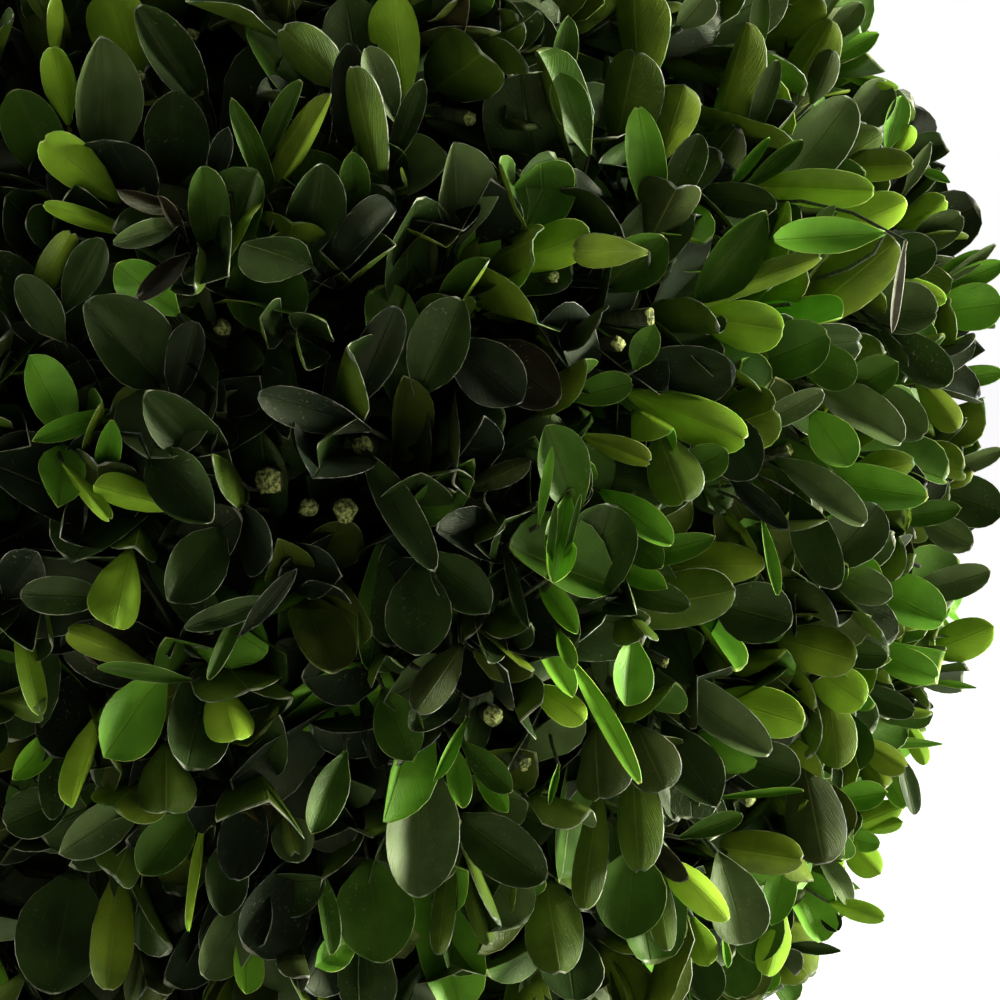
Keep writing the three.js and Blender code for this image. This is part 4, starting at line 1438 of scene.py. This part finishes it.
SHOW = Weave(
    (0.0, 0.2, 0.5, 0.8, 1.05, 1.28, 1.5, 1.7, 1.86, 1.965, 2.0),
    (-1.0, -0.94, -0.62, -0.3, 0.0, 0.3, 0.62, 0.94, 1.0),
    True,
)
FINE = Weave(
    (0.0, 0.3, 0.66, 1.0, 1.3, 1.55, 1.76, 1.92, 2.0),
    (-1.0, -0.94, -0.5, 0.0, 0.5, 0.94, 1.0),
    True,
)
PLAIN = Weave((0.0, 0.4, 0.9, 1.3, 1.6, 1.82, 1.95, 2.0), (-1.0, -0.94, 0.0, 0.94, 1.0), True)
COARSE = Weave((0.0, 0.6, 1.15, 1.6, 1.9, 2.0), (-1.0, 0.0, 1.0), False)
INNER = Weave((0.0, 0.8, 1.5, 1.96), (-1.0, 0.0, 1.0), False)


@dataclass
class Leaves:
    """Many box leaves at once: each field but the last two holds one value, or one vector, for each leaf."""

    roots: np.ndarray
    along: np.ndarray
    face: np.ndarray
    length: np.ndarray
    width: np.ndarray
    widest: np.ndarray
    blunt: np.ndarray
    arch: np.ndarray
    cup: np.ndarray
    fold: np.ndarray
    twist: np.ndarray
    wave: np.ndarray
    phase: np.ndarray
    notch: np.ndarray
    keep: np.ndarray
    margin: float = 0.18 * MM
    thickness: float = 0.3 * MM

    WEDGE = 2.1
    STALK = 0.5 * MM
    TIP_SHARE = 0.2
    EDGE_ROLL = 0.05
    ROLL_START = 0.75
    RIPPLE_RATE = 9
    RIPPLE_SHIFT = 1.5
    TWIST_FOOT = 0.2
    NOTCH_START = 1.8
    NOTCH_REACH = 0.2
    LEAST_SWELL = 0.15
    FULL_WIDTH = 3 * MM
    MAP_SHIFTS = 61

    def pick(self, chosen: np.ndarray) -> "Leaves":
        """Give only the chosen leaves."""
        arrays = {name: value[chosen] for name, value in vars(self).items() if isinstance(value, np.ndarray)}
        return Leaves(**arrays, margin=self.margin, thickness=self.thickness)

    def midribs(self, shares: np.ndarray) -> tuple[np.ndarray, np.ndarray, np.ndarray]:
        """Bend each midrib into an arc: its heading turns evenly from its root, by the arch at its tip.

        Args:
            shares: Places along the leaf, from 0 to 1, one row for each leaf.

        Returns:
            The midrib's points, its headings, and the directions that its upper face looks in.
        """
        bend = np.where(np.abs(self.arch) < 1e-3, 1e-3, self.arch)[:, None]
        angle = bend * shares
        length = self.length[:, None]
        along, face = self.along[:, None], self.face[:, None]
        cosine, sine = np.cos(angle)[..., None], np.sin(angle)[..., None]
        ahead = (np.sin(angle) / bend * length)[..., None] * along
        rise = ((1 - np.cos(angle)) / bend * length)[..., None] * face
        heading = cosine * along + sine * face
        facing = cosine * face - sine * along
        return self.roots[:, None] + ahead + rise, heading, facing

    def half_widths(self, shares: np.ndarray) -> np.ndarray:
        """Give the outline: a wedge that swells to the widest place, then a superellipse's blunt end.

        Args:
            shares: Places along the leaf, from 0 to 1, one row for each leaf.

        Returns:
            Half the leaf's width at each place.
        """
        widest = self.widest[:, None]
        below = np.clip((widest - shares) / widest, 0, 1)
        above = np.clip((shares - widest) / (1 - widest), 0, 1)
        blunt = self.blunt[:, None]
        end = np.maximum(1 - above**blunt, 0) ** (1 / blunt)
        outline = np.where(shares < widest, 1 - below**self.WEDGE, end)
        half = self.width[:, None] / 2
        return np.maximum(half * outline, np.where(shares < widest, self.STALK, self.TIP_SHARE * half))

    def build(self, weave: Weave) -> Surface:
        """Sweep the cross-section along each midrib.

        Each half of a section is an arc that curls up by the cup, the whole turned up about the midrib by
        the fold, its edge a little rolled under. The under face lies one thickness below the upper, and both
        meet at the edge. A leaf that the shears cut ends early, at the share of its length that it keeps.

        Args:
            weave: The mesh that each leaf gets.

        Returns:
            The leaves as one surface.
        """
        rows = np.array(weave.rows)[None]
        widest = self.widest[:, None]
        shares = np.where(rows < 1, rows * widest, widest + (rows - 1) * (1 - widest)) * self.keep[:, None]
        centre, heading, facing = self.midribs(shares)
        half = self.half_widths(shares)
        across = np.cross(heading, facing)
        turn = (self.twist[:, None] * (shares - self.TWIST_FOOT))[..., None]
        beside = np.cos(turn) * across + np.sin(turn) * facing
        upward = np.cos(turn) * facing - np.sin(turn) * across
        columns = np.array(weave.columns)[None, None] * np.ones((*half.shape, 1))
        if weave.has_margin:
            inner = np.maximum(1 - self.margin / half, 0.5)[..., None]
            scaled = columns / abs(weave.columns[1]) * inner
            columns = np.where(np.abs(columns) < 0.99, scaled, columns)
        cup, fold = self.cup[:, None, None], self.fold[:, None, None]
        size = np.abs(columns)
        out, lift = np.sin(cup * size) / cup, (1 - np.cos(cup * size)) / cup
        side = (out * np.cos(fold) - lift * np.sin(fold)) * np.sign(columns)
        rolled = self.EDGE_ROLL * np.clip((size - self.ROLL_START) / (1 - self.ROLL_START), 0, 1) ** 2
        phase = self.phase[:, None, None] + self.RIPPLE_SHIFT * np.sign(columns)
        ripple = self.wave[:, None, None] * size**2 * np.sin(self.RIPPLE_RATE * shares[..., None] + phase)
        height = out * np.sin(fold) + lift * np.cos(fold) - rolled + ripple
        width = half[..., None]
        top = centre[:, :, None] + (side * width)[..., None] * beside[:, :, None]
        top = top + (height * width)[..., None] * upward[:, :, None]
        at_tip = np.clip((rows - self.NOTCH_START) / self.NOTCH_REACH, 0, 1)[..., None] * (1 - size) ** 2
        top = top - (self.notch[:, None, None] * at_tip)[..., None] * heading[:, :, None]
        swell = np.sqrt(np.clip(1 - size[..., 1:-1] ** 2, self.LEAST_SWELL, 1))
        thick = self.thickness * swell * np.minimum(1, width / self.FULL_WIDTH)
        under = top[:, :, 1:-1] - thick[..., None] * upward[:, :, None]
        points = np.concatenate([top, under], axis=2)
        corners, sizes, finishes, places = weave.pattern()
        every = np.array([*weave.columns, *weave.columns[1:-1]])
        maps = np.stack([(every[places[:, 1]] + 1) / 2, np.array(weave.rows)[places[:, 0]] / 2], axis=1)
        count, per_leaf = len(points), points.shape[1] * points.shape[2]
        maps = maps[None] + np.stack([np.zeros(count), np.arange(count) % self.MAP_SHIFTS], axis=1)[:, None]
        return Surface(
            points.reshape(-1, 3),
            (corners + np.arange(count)[:, None] * per_leaf).ravel(),
            np.tile(sizes, count),
            np.tile(finishes, count),
            maps.reshape(-1, 2),
        )


@dataclass(frozen=True)
class LeafPair:
    """One pair of leaves on a shoot, counted from its tip: degrees for angles, metres for sizes."""

    depth: float
    spread: float
    length: float
    arch: float
    weave: Weave


PAIRS = (
    LeafPair(0.8 * MM, 21.0, 18.5 * MM, 14.0, FINE),
    LeafPair(6.0 * MM, 33.0, 22.5 * MM, 10.0, FINE),
    LeafPair(12.5 * MM, 46.0, 24.0 * MM, 4.0, PLAIN),
    LeafPair(18.5 * MM, 56.0, 22.0 * MM, 0.0, COARSE),
)


@dataclass(frozen=True)
class Side:
    """A side of the plant: the way to it, how many sprays differ there, how narrow it is, their tints."""

    way: tuple[float, float, float]
    share: float
    narrowness: float
    tints: dict[Tint, float]


SIDES_WITH_PAINTED_LIGHT = (
    Side((0.0, 0.0, 1.0), 1.0, 0.0, {
        DEEP: 0.33, BLACKISH: 0.19, GREYED: 0.08, MID: 0.17,
        OLIVE: 0.13, LIME: 0.06, BROWNISH: 0.03, DRY: 0.002,
    }),
    # Brighter tints on the lower right: painted light where the right softbox falls.
    Side((0.8, -0.2, -0.55), 0.32, 2.0, {MID: 0.5, LIME: 0.22, OLIVE: 0.28}),
    # Dark tints on the side that faces the camera: painted shade on the front, which gets little light.
    Side((0.1, -1.0, 0.0), 0.6, 8.0, {BLACKISH: 0.6, DEEP: 0.4}),
)


@dataclass
class Foliage:
    """All the leaves: four opposite pairs on each shoot, each crosswise to the last, dealt out by tint.

    Angles are in degrees. The range of depth, the stalk's offset, the notches and the inner leaves' length
    are in millimetres.
    """

    growth: Growth
    seed: int = 97
    width_share: tuple[float, float] = (0.54, 0.72)
    widest_place: tuple[float, float] = (0.52, 0.68)
    blunt_kinds: tuple[float, ...] = (1.9, 2.3, 2.8)
    blunt_odds: tuple[float, ...] = (0.2, 0.45, 0.35)
    arch_scatter: float = 18.0
    cup_range: tuple[float, float] = (0.15, 0.95)
    fold_range: tuple[float, float] = (0.0, 40.0)
    twist_scatter: float = 0.24
    wave_scatter: float = 0.05
    notch_kinds: tuple[float, ...] = (-0.4, 0.0, 0.4)
    notch_odds: tuple[float, ...] = (0.2, 0.5, 0.3)
    spread_scatter: float = 10.0
    spread_range: tuple[float, float] = (6.0, 85.0)
    openness_range: tuple[float, float] = (0.6, 1.45)
    pair_scatter: float = 18.0
    depth_range: tuple[float, float] = (-0.6, 1.2)
    length_scatter: float = 0.12
    length_range: tuple[float, float] = (0.7, 1.25)
    stalk_offset: float = 0.4
    facing_scatter: float = 0.25
    inner_count: int = 3000
    inner_radius: tuple[float, float] = (98 * MM, 124 * MM)
    inner_length: tuple[float, float] = (22.0, 2.0)
    inner_tilt: float = 0.4
    inner_turn: float = 0.5
    clip_radius: tuple[float, float] = (154.5 * MM, 162 * MM)
    clip_rarity: float = 2.8
    cut_share: float = 0.14
    least_kept: float = 0.5
    cut_narrowing: float = 0.4
    most_triangles: int = 140000
    close_way: tuple[float, float, float] = (0.935, -0.05, -0.35)
    close_cut: float = 5.5 * MM
    close_start: float = 0.9
    close_reach: float = 0.06
    other_share: float = 0.35
    lit_bend: float = 1.6
    seen_fold: float = 0.5
    seen_twist: float = 0.8
    told_fields: tuple[str, ...] = ("width", "fold", "cup", "roll", "arch", "blunt", "lit")
    checks: tuple[float, ...] = (0.3, 0.5, 0.7, 0.85, 1.0)
    trunk_space: float = 15 * MM
    tip_clearance: float = 2 * MM

    def __post_init__(self) -> None:
        """Start the repeatable draws."""
        self.rng = np.random.default_rng(self.seed)
        self.plan = self.growth.plan
        self.batches: dict[Tint, list[Surface]] = {tint: [] for tint in Tint}

    def _tints(self, ways: np.ndarray) -> np.ndarray:
        """Deal out tints by the shares of each side in turn, as numbers in the enumeration's order.

        One side's bright tints paint light on the lower right, and another's dark tints paint shade on the
        front.

        Args:
            ways: The direction of each spray from the plant's middle.

        Returns:
            The tints' numbers.
        """
        numbers = np.zeros(len(ways), int)
        for side in SIDES_WITH_PAINTED_LIGHT:
            shares = np.array([side.tints.get(tint, 0.0) for tint in Tint])
            dealt = self.rng.choice(len(shares), len(ways), p=shares / shares.sum())
            odds = side.share * np.clip(ways @ unit(np.array(side.way)), 0, 1) ** side.narrowness
            numbers = np.where(self.rng.random(len(ways)) < odds, dealt, numbers)
        return numbers

    def _forms(self, length: np.ndarray, arch: float) -> dict[str, np.ndarray]:
        """Draw the leaves' forms: how wide, blunt, arched, cupped, folded, twisted and waved each one is.

        Args:
            length: The leaves' lengths.
            arch: How far they arch on average, in degrees.

        Returns:
            The fields of the leaves by name.
        """
        rng, count = self.rng, len(length)
        return {
            "length": length,
            "width": length * rng.uniform(*self.width_share, count),
            "widest": rng.uniform(*self.widest_place, count),
            "blunt": rng.choice(self.blunt_kinds, count, p=self.blunt_odds),
            "arch": np.radians(arch + rng.normal(0, self.arch_scatter, count)),
            "cup": rng.uniform(*self.cup_range, count),
            "fold": np.radians(rng.uniform(*self.fold_range, count)),
            "twist": rng.normal(0, self.twist_scatter, count),
            "wave": np.abs(rng.normal(0, self.wave_scatter, count)),
            "phase": rng.uniform(0, 6.28, count),
            "notch": rng.choice(self.notch_kinds, count, p=self.notch_odds) * MM,
            "keep": np.ones(count),
        }

    def _pair(self, pair: LeafPair, order: int, level: np.ndarray, half: int) -> Leaves:
        """Set one leaf of a pair on every shoot. Its upper face looks towards the shoot's tip.

        Args:
            pair: The pair's sizes.
            order: The pair's place, counted from the tip.
            level: A direction beside each shoot, for the first pair.
            half: 0 or 1, for the two sides of the shoot.

        Returns:
            One leaf for each shoot.
        """
        rng, axes, tips = self.rng, self.growth.axes, self.growth.tips
        count = len(tips)
        crossing = np.radians(90.0 * order + 180.0 * half + rng.normal(0, self.pair_scatter, count))
        side = turned(level, axes, crossing)
        spread = pair.spread * self.openness + rng.normal(0, self.spread_scatter, count)
        spread = np.radians(spread.clip(*self.spread_range))[:, None]
        along = axes * np.cos(spread) + side * np.sin(spread)
        face = axes * np.sin(spread) - side * np.cos(spread)
        depth = (pair.depth + rng.uniform(*self.depth_range, count) * MM)[:, None]
        length = pair.length * rng.normal(1, self.length_scatter, count).clip(*self.length_range)
        return Leaves(
            roots=tips - axes * depth + side * self.stalk_offset * MM,
            along=along,
            face=turned(face, along, rng.normal(0, self.facing_scatter, count)),
            **self._forms(length, pair.arch),
        )

    def _clipped(self, leaves: Leaves) -> Leaves:
        """Keep leaves within the clipped round: some are cut straight there, others grew only so long.

        The round lies a little closer on one side, where the shears went nearer.

        Args:
            leaves: The leaves as grown.

        Returns:
            The same leaves, shortened or cut.
        """
        rng, count = self.rng, len(leaves.length)
        shares = np.linspace(0, 1, 21)[None] * np.ones((count, 1))
        points = leaves.midribs(shares)[0]
        low, high = self.clip_radius
        limit = low + (high - low) * rng.random(count) ** self.clip_rarity
        closeness = unit(points[:, -1] - self.plan.middle) @ unit(np.array(self.close_way))
        limit = limit - self.close_cut * np.clip((closeness - self.close_start) / self.close_reach, 0, 1)
        is_out = np.linalg.norm(points - self.plan.middle, axis=2) > limit[:, None]
        first = np.where(is_out.any(axis=1), np.argmax(is_out, axis=1), 20)
        share = np.maximum(shares[0][first], self.least_kept)
        is_cut = rng.random(count) < self.cut_share
        leaves.keep = np.where(is_cut, share, 1.0)
        leaves.length = np.where(is_cut, leaves.length, leaves.length * share)
        leaves.width = np.where(is_cut, leaves.width, leaves.width * share**self.cut_narrowing)
        return leaves

    def _fits(self, leaves: Leaves) -> np.ndarray:
        """Find the leaves that stay clear of the ground and the trunk, and off the leaves that stand out.

        Args:
            leaves: The leaves to look at.

        Returns:
            One truth for each leaf.
        """
        shares = np.array(self.checks)[None] * np.ones((len(leaves.length), 1))
        middle, heading, facing = leaves.midribs(shares)
        tip = middle[:, -1]
        fold = leaves.fold[:, None, None]
        half = leaves.half_widths(shares)[..., None]
        aside, above = np.cross(heading, facing) * np.cos(fold) * half, facing * np.sin(fold) * half
        points = np.concatenate([middle, middle + aside + above, middle - aside + above], axis=1)
        is_low = tip[:, 2] < self.plan.middle[2]
        beside_trunk = (np.hypot(tip[:, 0], tip[:, 1]) < self.trunk_space) & is_low
        above_ground = tip[:, 2] > self.plan.ground_clearance + self.tip_clearance
        spots, depth = self.growth.camera.pixels(points)
        hides = np.zeros(len(tip), bool)
        for window in self.growth.windows:
            hides |= window.holds(spots, depth).any(axis=-1)
        return above_ground & ~beside_trunk & ~hides

    def _deal(self, leaves: Leaves, tints: np.ndarray, weave: Weave) -> None:
        """Build the leaves of each tint and put them by.

        Args:
            leaves: The leaves.
            tints: The number of each one's tint.
            weave: The mesh that each leaf gets.
        """
        for number, tint in enumerate(Tint):
            chosen = np.flatnonzero(tints == number)
            if len(chosen):
                self.batches[tint].append(leaves.pick(chosen).build(weave))

    def _deal_shoots(self) -> None:
        """Set the four pairs on every shoot, most leaves of a shoot in its own tint."""
        count = len(self.growth.tips)
        own = self._tints(self.growth.ways)
        self.openness = self.rng.uniform(*self.openness_range, count)
        level = turned(crosswise(self.growth.axes), self.growth.axes, self.rng.uniform(0, 2 * np.pi, count))
        for order, pair in enumerate(PAIRS):
            for half in (0, 1):
                leaves = self._clipped(self._pair(pair, order, level, half))
                is_other = self.rng.random(count) < self.other_share
                tints = np.where(is_other, self._tints(self.growth.ways), own)
                fits = self._fits(leaves)
                if order < 2:
                    fits &= ~self.growth.is_stub
                if order < 1:
                    fits &= ~self.growth.is_seen
                self._deal(leaves.pick(fits), tints[fits], pair.weave)

    def _deal_inner(self) -> None:
        """Scatter older, darker leaves inside, flat to the light, so that no sky shows through the ball.

        Their blackish tint is partly old leaves' colour and partly painted shade of the interior.
        """
        rng, count = self.rng, self.inner_count
        ways = unit(rng.normal(0, 1, (count, 3)))
        roots = self.plan.on_way(ways, rng.uniform(*self.inner_radius, count))
        level = np.cross(ways, rng.normal(0, 1, (count, 3)))
        along = unit(level + ways * rng.normal(0, self.inner_tilt, (count, 1)))
        face = unit(ways - along * np.sum(ways * along, axis=1, keepdims=True))
        face = turned(face, along, rng.normal(0, self.inner_turn, count))
        leaves = Leaves(roots, along, face, **self._forms(rng.normal(*self.inner_length, count) * MM, 0.0))
        fits = self._fits(leaves)
        # Blackish for all: old leaves' colour, and partly painted shade deep in the ball.
        dark = np.full(int(fits.sum()), list(Tint).index(BLACKISH))
        self._deal(leaves.pick(fits), dark, INNER)

    def _deal_seen(self) -> None:
        """Set the leaves that stand out in the photograph, each facing the camera as it is told."""
        growth = self.growth
        told = {name: np.array([getattr(blade, name) for blade in BLADES]) for name in self.told_fields}
        reach = growth.blade_tips - growth.blade_roots
        length = np.linalg.norm(reach, axis=1)
        sign = np.array([blade.face.value for blade in BLADES])
        along = unit(reach)
        lit = np.radians(told["lit"])
        bend = self.lit_bend * lit * sign * (along @ growth.camera.right)
        arch = np.radians(told["arch"]) - bend
        roll = np.radians(told["roll"]) + lit * (along @ growth.camera.above)
        to_eye = growth.camera.eye - growth.blade_roots
        face = unit(to_eye - along * np.sum(to_eye * along, axis=1, keepdims=True)) * sign[:, None]
        face = turned(face, along, roll)
        along = turned(along, np.cross(along, face), -arch / 2)
        face = turned(face, np.cross(unit(reach), face), -arch / 2)
        scale = np.linalg.norm(growth.blade_tips - growth.camera.eye, axis=1) / growth.camera.focal_pixels
        forms = self._forms(length, 0.0)
        forms["fold"] = np.radians(told["fold"]) + forms["fold"] * self.seen_fold
        forms["blunt"], forms["cup"] = told["blunt"], told["cup"]
        cup, fold = forms["cup"], forms["fold"]
        shown = (np.sin(cup) * np.cos(fold) - (1 - np.cos(cup)) * np.sin(fold)) / cup
        forms["width"] = told["width"] * scale / shown
        forms["arch"] = arch
        forms["twist"] *= self.seen_twist
        leaves = Leaves(roots=growth.blade_roots, along=along, face=face, **forms)
        self._deal(leaves, np.array([list(Tint).index(blade.tint) for blade in BLADES]), SHOW)

    def make(self) -> list[bpy.types.Object]:
        """Build all leaves, sorted by tint, and make them in pieces of limited size.

        Returns:
            The pieces.
        """
        self._deal_shoots()
        self._deal_inner()
        self._deal_seen()
        masses = [f"foliage_{bough.name}" for bough in self.growth.boughs]
        pieces = []
        for tint, batch in self.batches.items():
            finishes = tint.finishes()
            reached = np.cumsum([part.triangles for part in batch])
            share = reached[-1] / np.ceil(reached[-1] / self.most_triangles)
            place = (reached - 1) // share
            for number in np.unique(place):
                group = [part for part, index in zip(batch, place) if index == number]
                name = f"leaves_{tint.name.lower()}_{len(pieces) + 1}"
                pieces.append(Surface.joined(group).make(name, finishes))
        for piece in pieces:
            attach(piece, "root")
            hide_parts(*masses)
        return pieces


@dataclass(frozen=True)
class Softbox:
    """One plain soft light: where it stands, how large and how strong it is. It looks at the ball."""

    name: str
    place: tuple[float, float, float]
    width: float
    height: float
    power: float

    def make(self, plan: Plan) -> bpy.types.Object:
        """Put the light into the scene.

        Args:
            plan: The ball's sizes.

        Returns:
            The light.
        """
        data = bpy.data.lights.new(self.name, "AREA")
        data.shape = "RECTANGLE"
        data.size, data.size_y, data.energy = self.width, self.height, self.power
        light = put(self.name, data)
        light.location = self.place
        light.visible_camera = False
        aim = Vector(plan.middle) - Vector(self.place)
        light.rotation_euler = aim.to_track_quat("-Z", "Y").to_euler()
        return light


@dataclass
class Studio:
    """The plain white studio: a pale floor that glows faintly, a white surround and soft lights."""

    plan: Plan
    floor_size: float = 8.0
    floor_colour: str = "#e8e8e6"
    floor_roughness: float = 0.9
    floor_glow: tuple[float, float] = (0.28, 0.9)
    surround_tint: tuple[float, ...] = (1.0, 0.9, 1.35, 1.0)
    surround_glow: float = 0.062
    lights: tuple[Softbox, ...] = (
        Softbox("right softbox", (1.15, -0.08, 0.30), 0.3, 0.42, 32.0),
        Softbox("left softbox", (-1.1, -0.08, 0.30), 0.3, 0.42, 11.0),
        Softbox("top softbox", (0.3, 0.1, 1.3), 0.4, 0.4, 2.5),
    )

    def make(self) -> None:
        """Make the floor, the surround and the lights."""
        half = self.floor_size / 2
        mesh = bpy.data.meshes.new("floor")
        corners = [(-half, -half, 0), (half, -half, 0), (half, half, 0), (-half, half, 0)]
        mesh.from_pydata(corners, [], [(0, 1, 2, 3)])
        floor = put("floor", mesh)
        material, tree, shader = bare_material("pale matte floor")
        shader.inputs["Base Color"].default_value = linear_colour(self.floor_colour)
        shader.inputs["Roughness"].default_value = self.floor_roughness
        shader.inputs["Emission Color"].default_value = (1.0, 1.0, 1.0, 1.0)
        seen = add_node(tree, "ShaderNodeLightPath", {}, "Is Camera Ray")
        lighting, shown = self.floor_glow
        glow = add_node(tree, "ShaderNodeMapRange", {0: seen, 3: lighting, 4: shown})
        tree.links.new(glow, shader.inputs["Emission Strength"])
        mesh.materials.append(material)
        self._surround()
        for light in self.lights:
            light.make(self.plan)
        bpy.context.scene.view_settings.view_transform = "Standard"

    def _surround(self) -> None:
        """Show the surround as pure white, and let it light the plant only a little."""
        world = bpy.data.worlds.new("white surround")
        bpy.context.scene.world = world
        world.use_nodes = True
        tree = world.node_tree
        tree.nodes.clear()
        seen = add_node(tree, "ShaderNodeLightPath", {}, "Is Camera Ray")
        white = add_node(tree, "ShaderNodeBackground", {"Color": (1, 1, 1, 1), "Strength": 1.0})
        faint = {"Color": self.surround_tint, "Strength": self.surround_glow}
        glow = add_node(tree, "ShaderNodeBackground", faint)
        mix = add_node(tree, "ShaderNodeMixShader", {0: seen, 1: glow, 2: white})
        add_node(tree, "ShaderNodeOutputWorld", {"Surface": mix}, None)


def main() -> None:
    """Build the plant from the trunk outwards, then the studio, and report each piece."""
    logging.basicConfig(level=logging.INFO, format="%(name)s: %(message)s")
    camera = Camera(PLAN)
    camera.make()
    old_bark = Bark("corky box bark", "#8d7d5e", "#4a3d2a", crack_width=2.2 * MM, stretch=4.0).dress()
    young_bark = Bark(
        "green box twig bark", "#414820", "#22260f", crack_width=1.4 * MM, stretch=3.0, bump=0.3
    ).dress()
    cut_wood = Bark(
        "cut green wood", "#c9d070", "#47521a", crack_width=0.7 * MM, stretch=1.0, bump=1.0
    ).dress()
    boughs = list_boughs(PLAN, RINGS)
    growth = Growth(PLAN, boughs, camera)
    made = [Trunk(PLAN).make(old_bark), *Limbs(PLAN, boughs).make(old_bark)]
    made += growth.make(young_bark, cut_wood)
    made += Foliage(growth).make()
    for piece in made:
        triangles = len(piece.data.loops) - 2 * len(piece.data.polygons)
        LOG.info("%s: %d triangles", piece.name, triangles)
    Studio(PLAN).make()


if __name__ == "__main__":
    main()
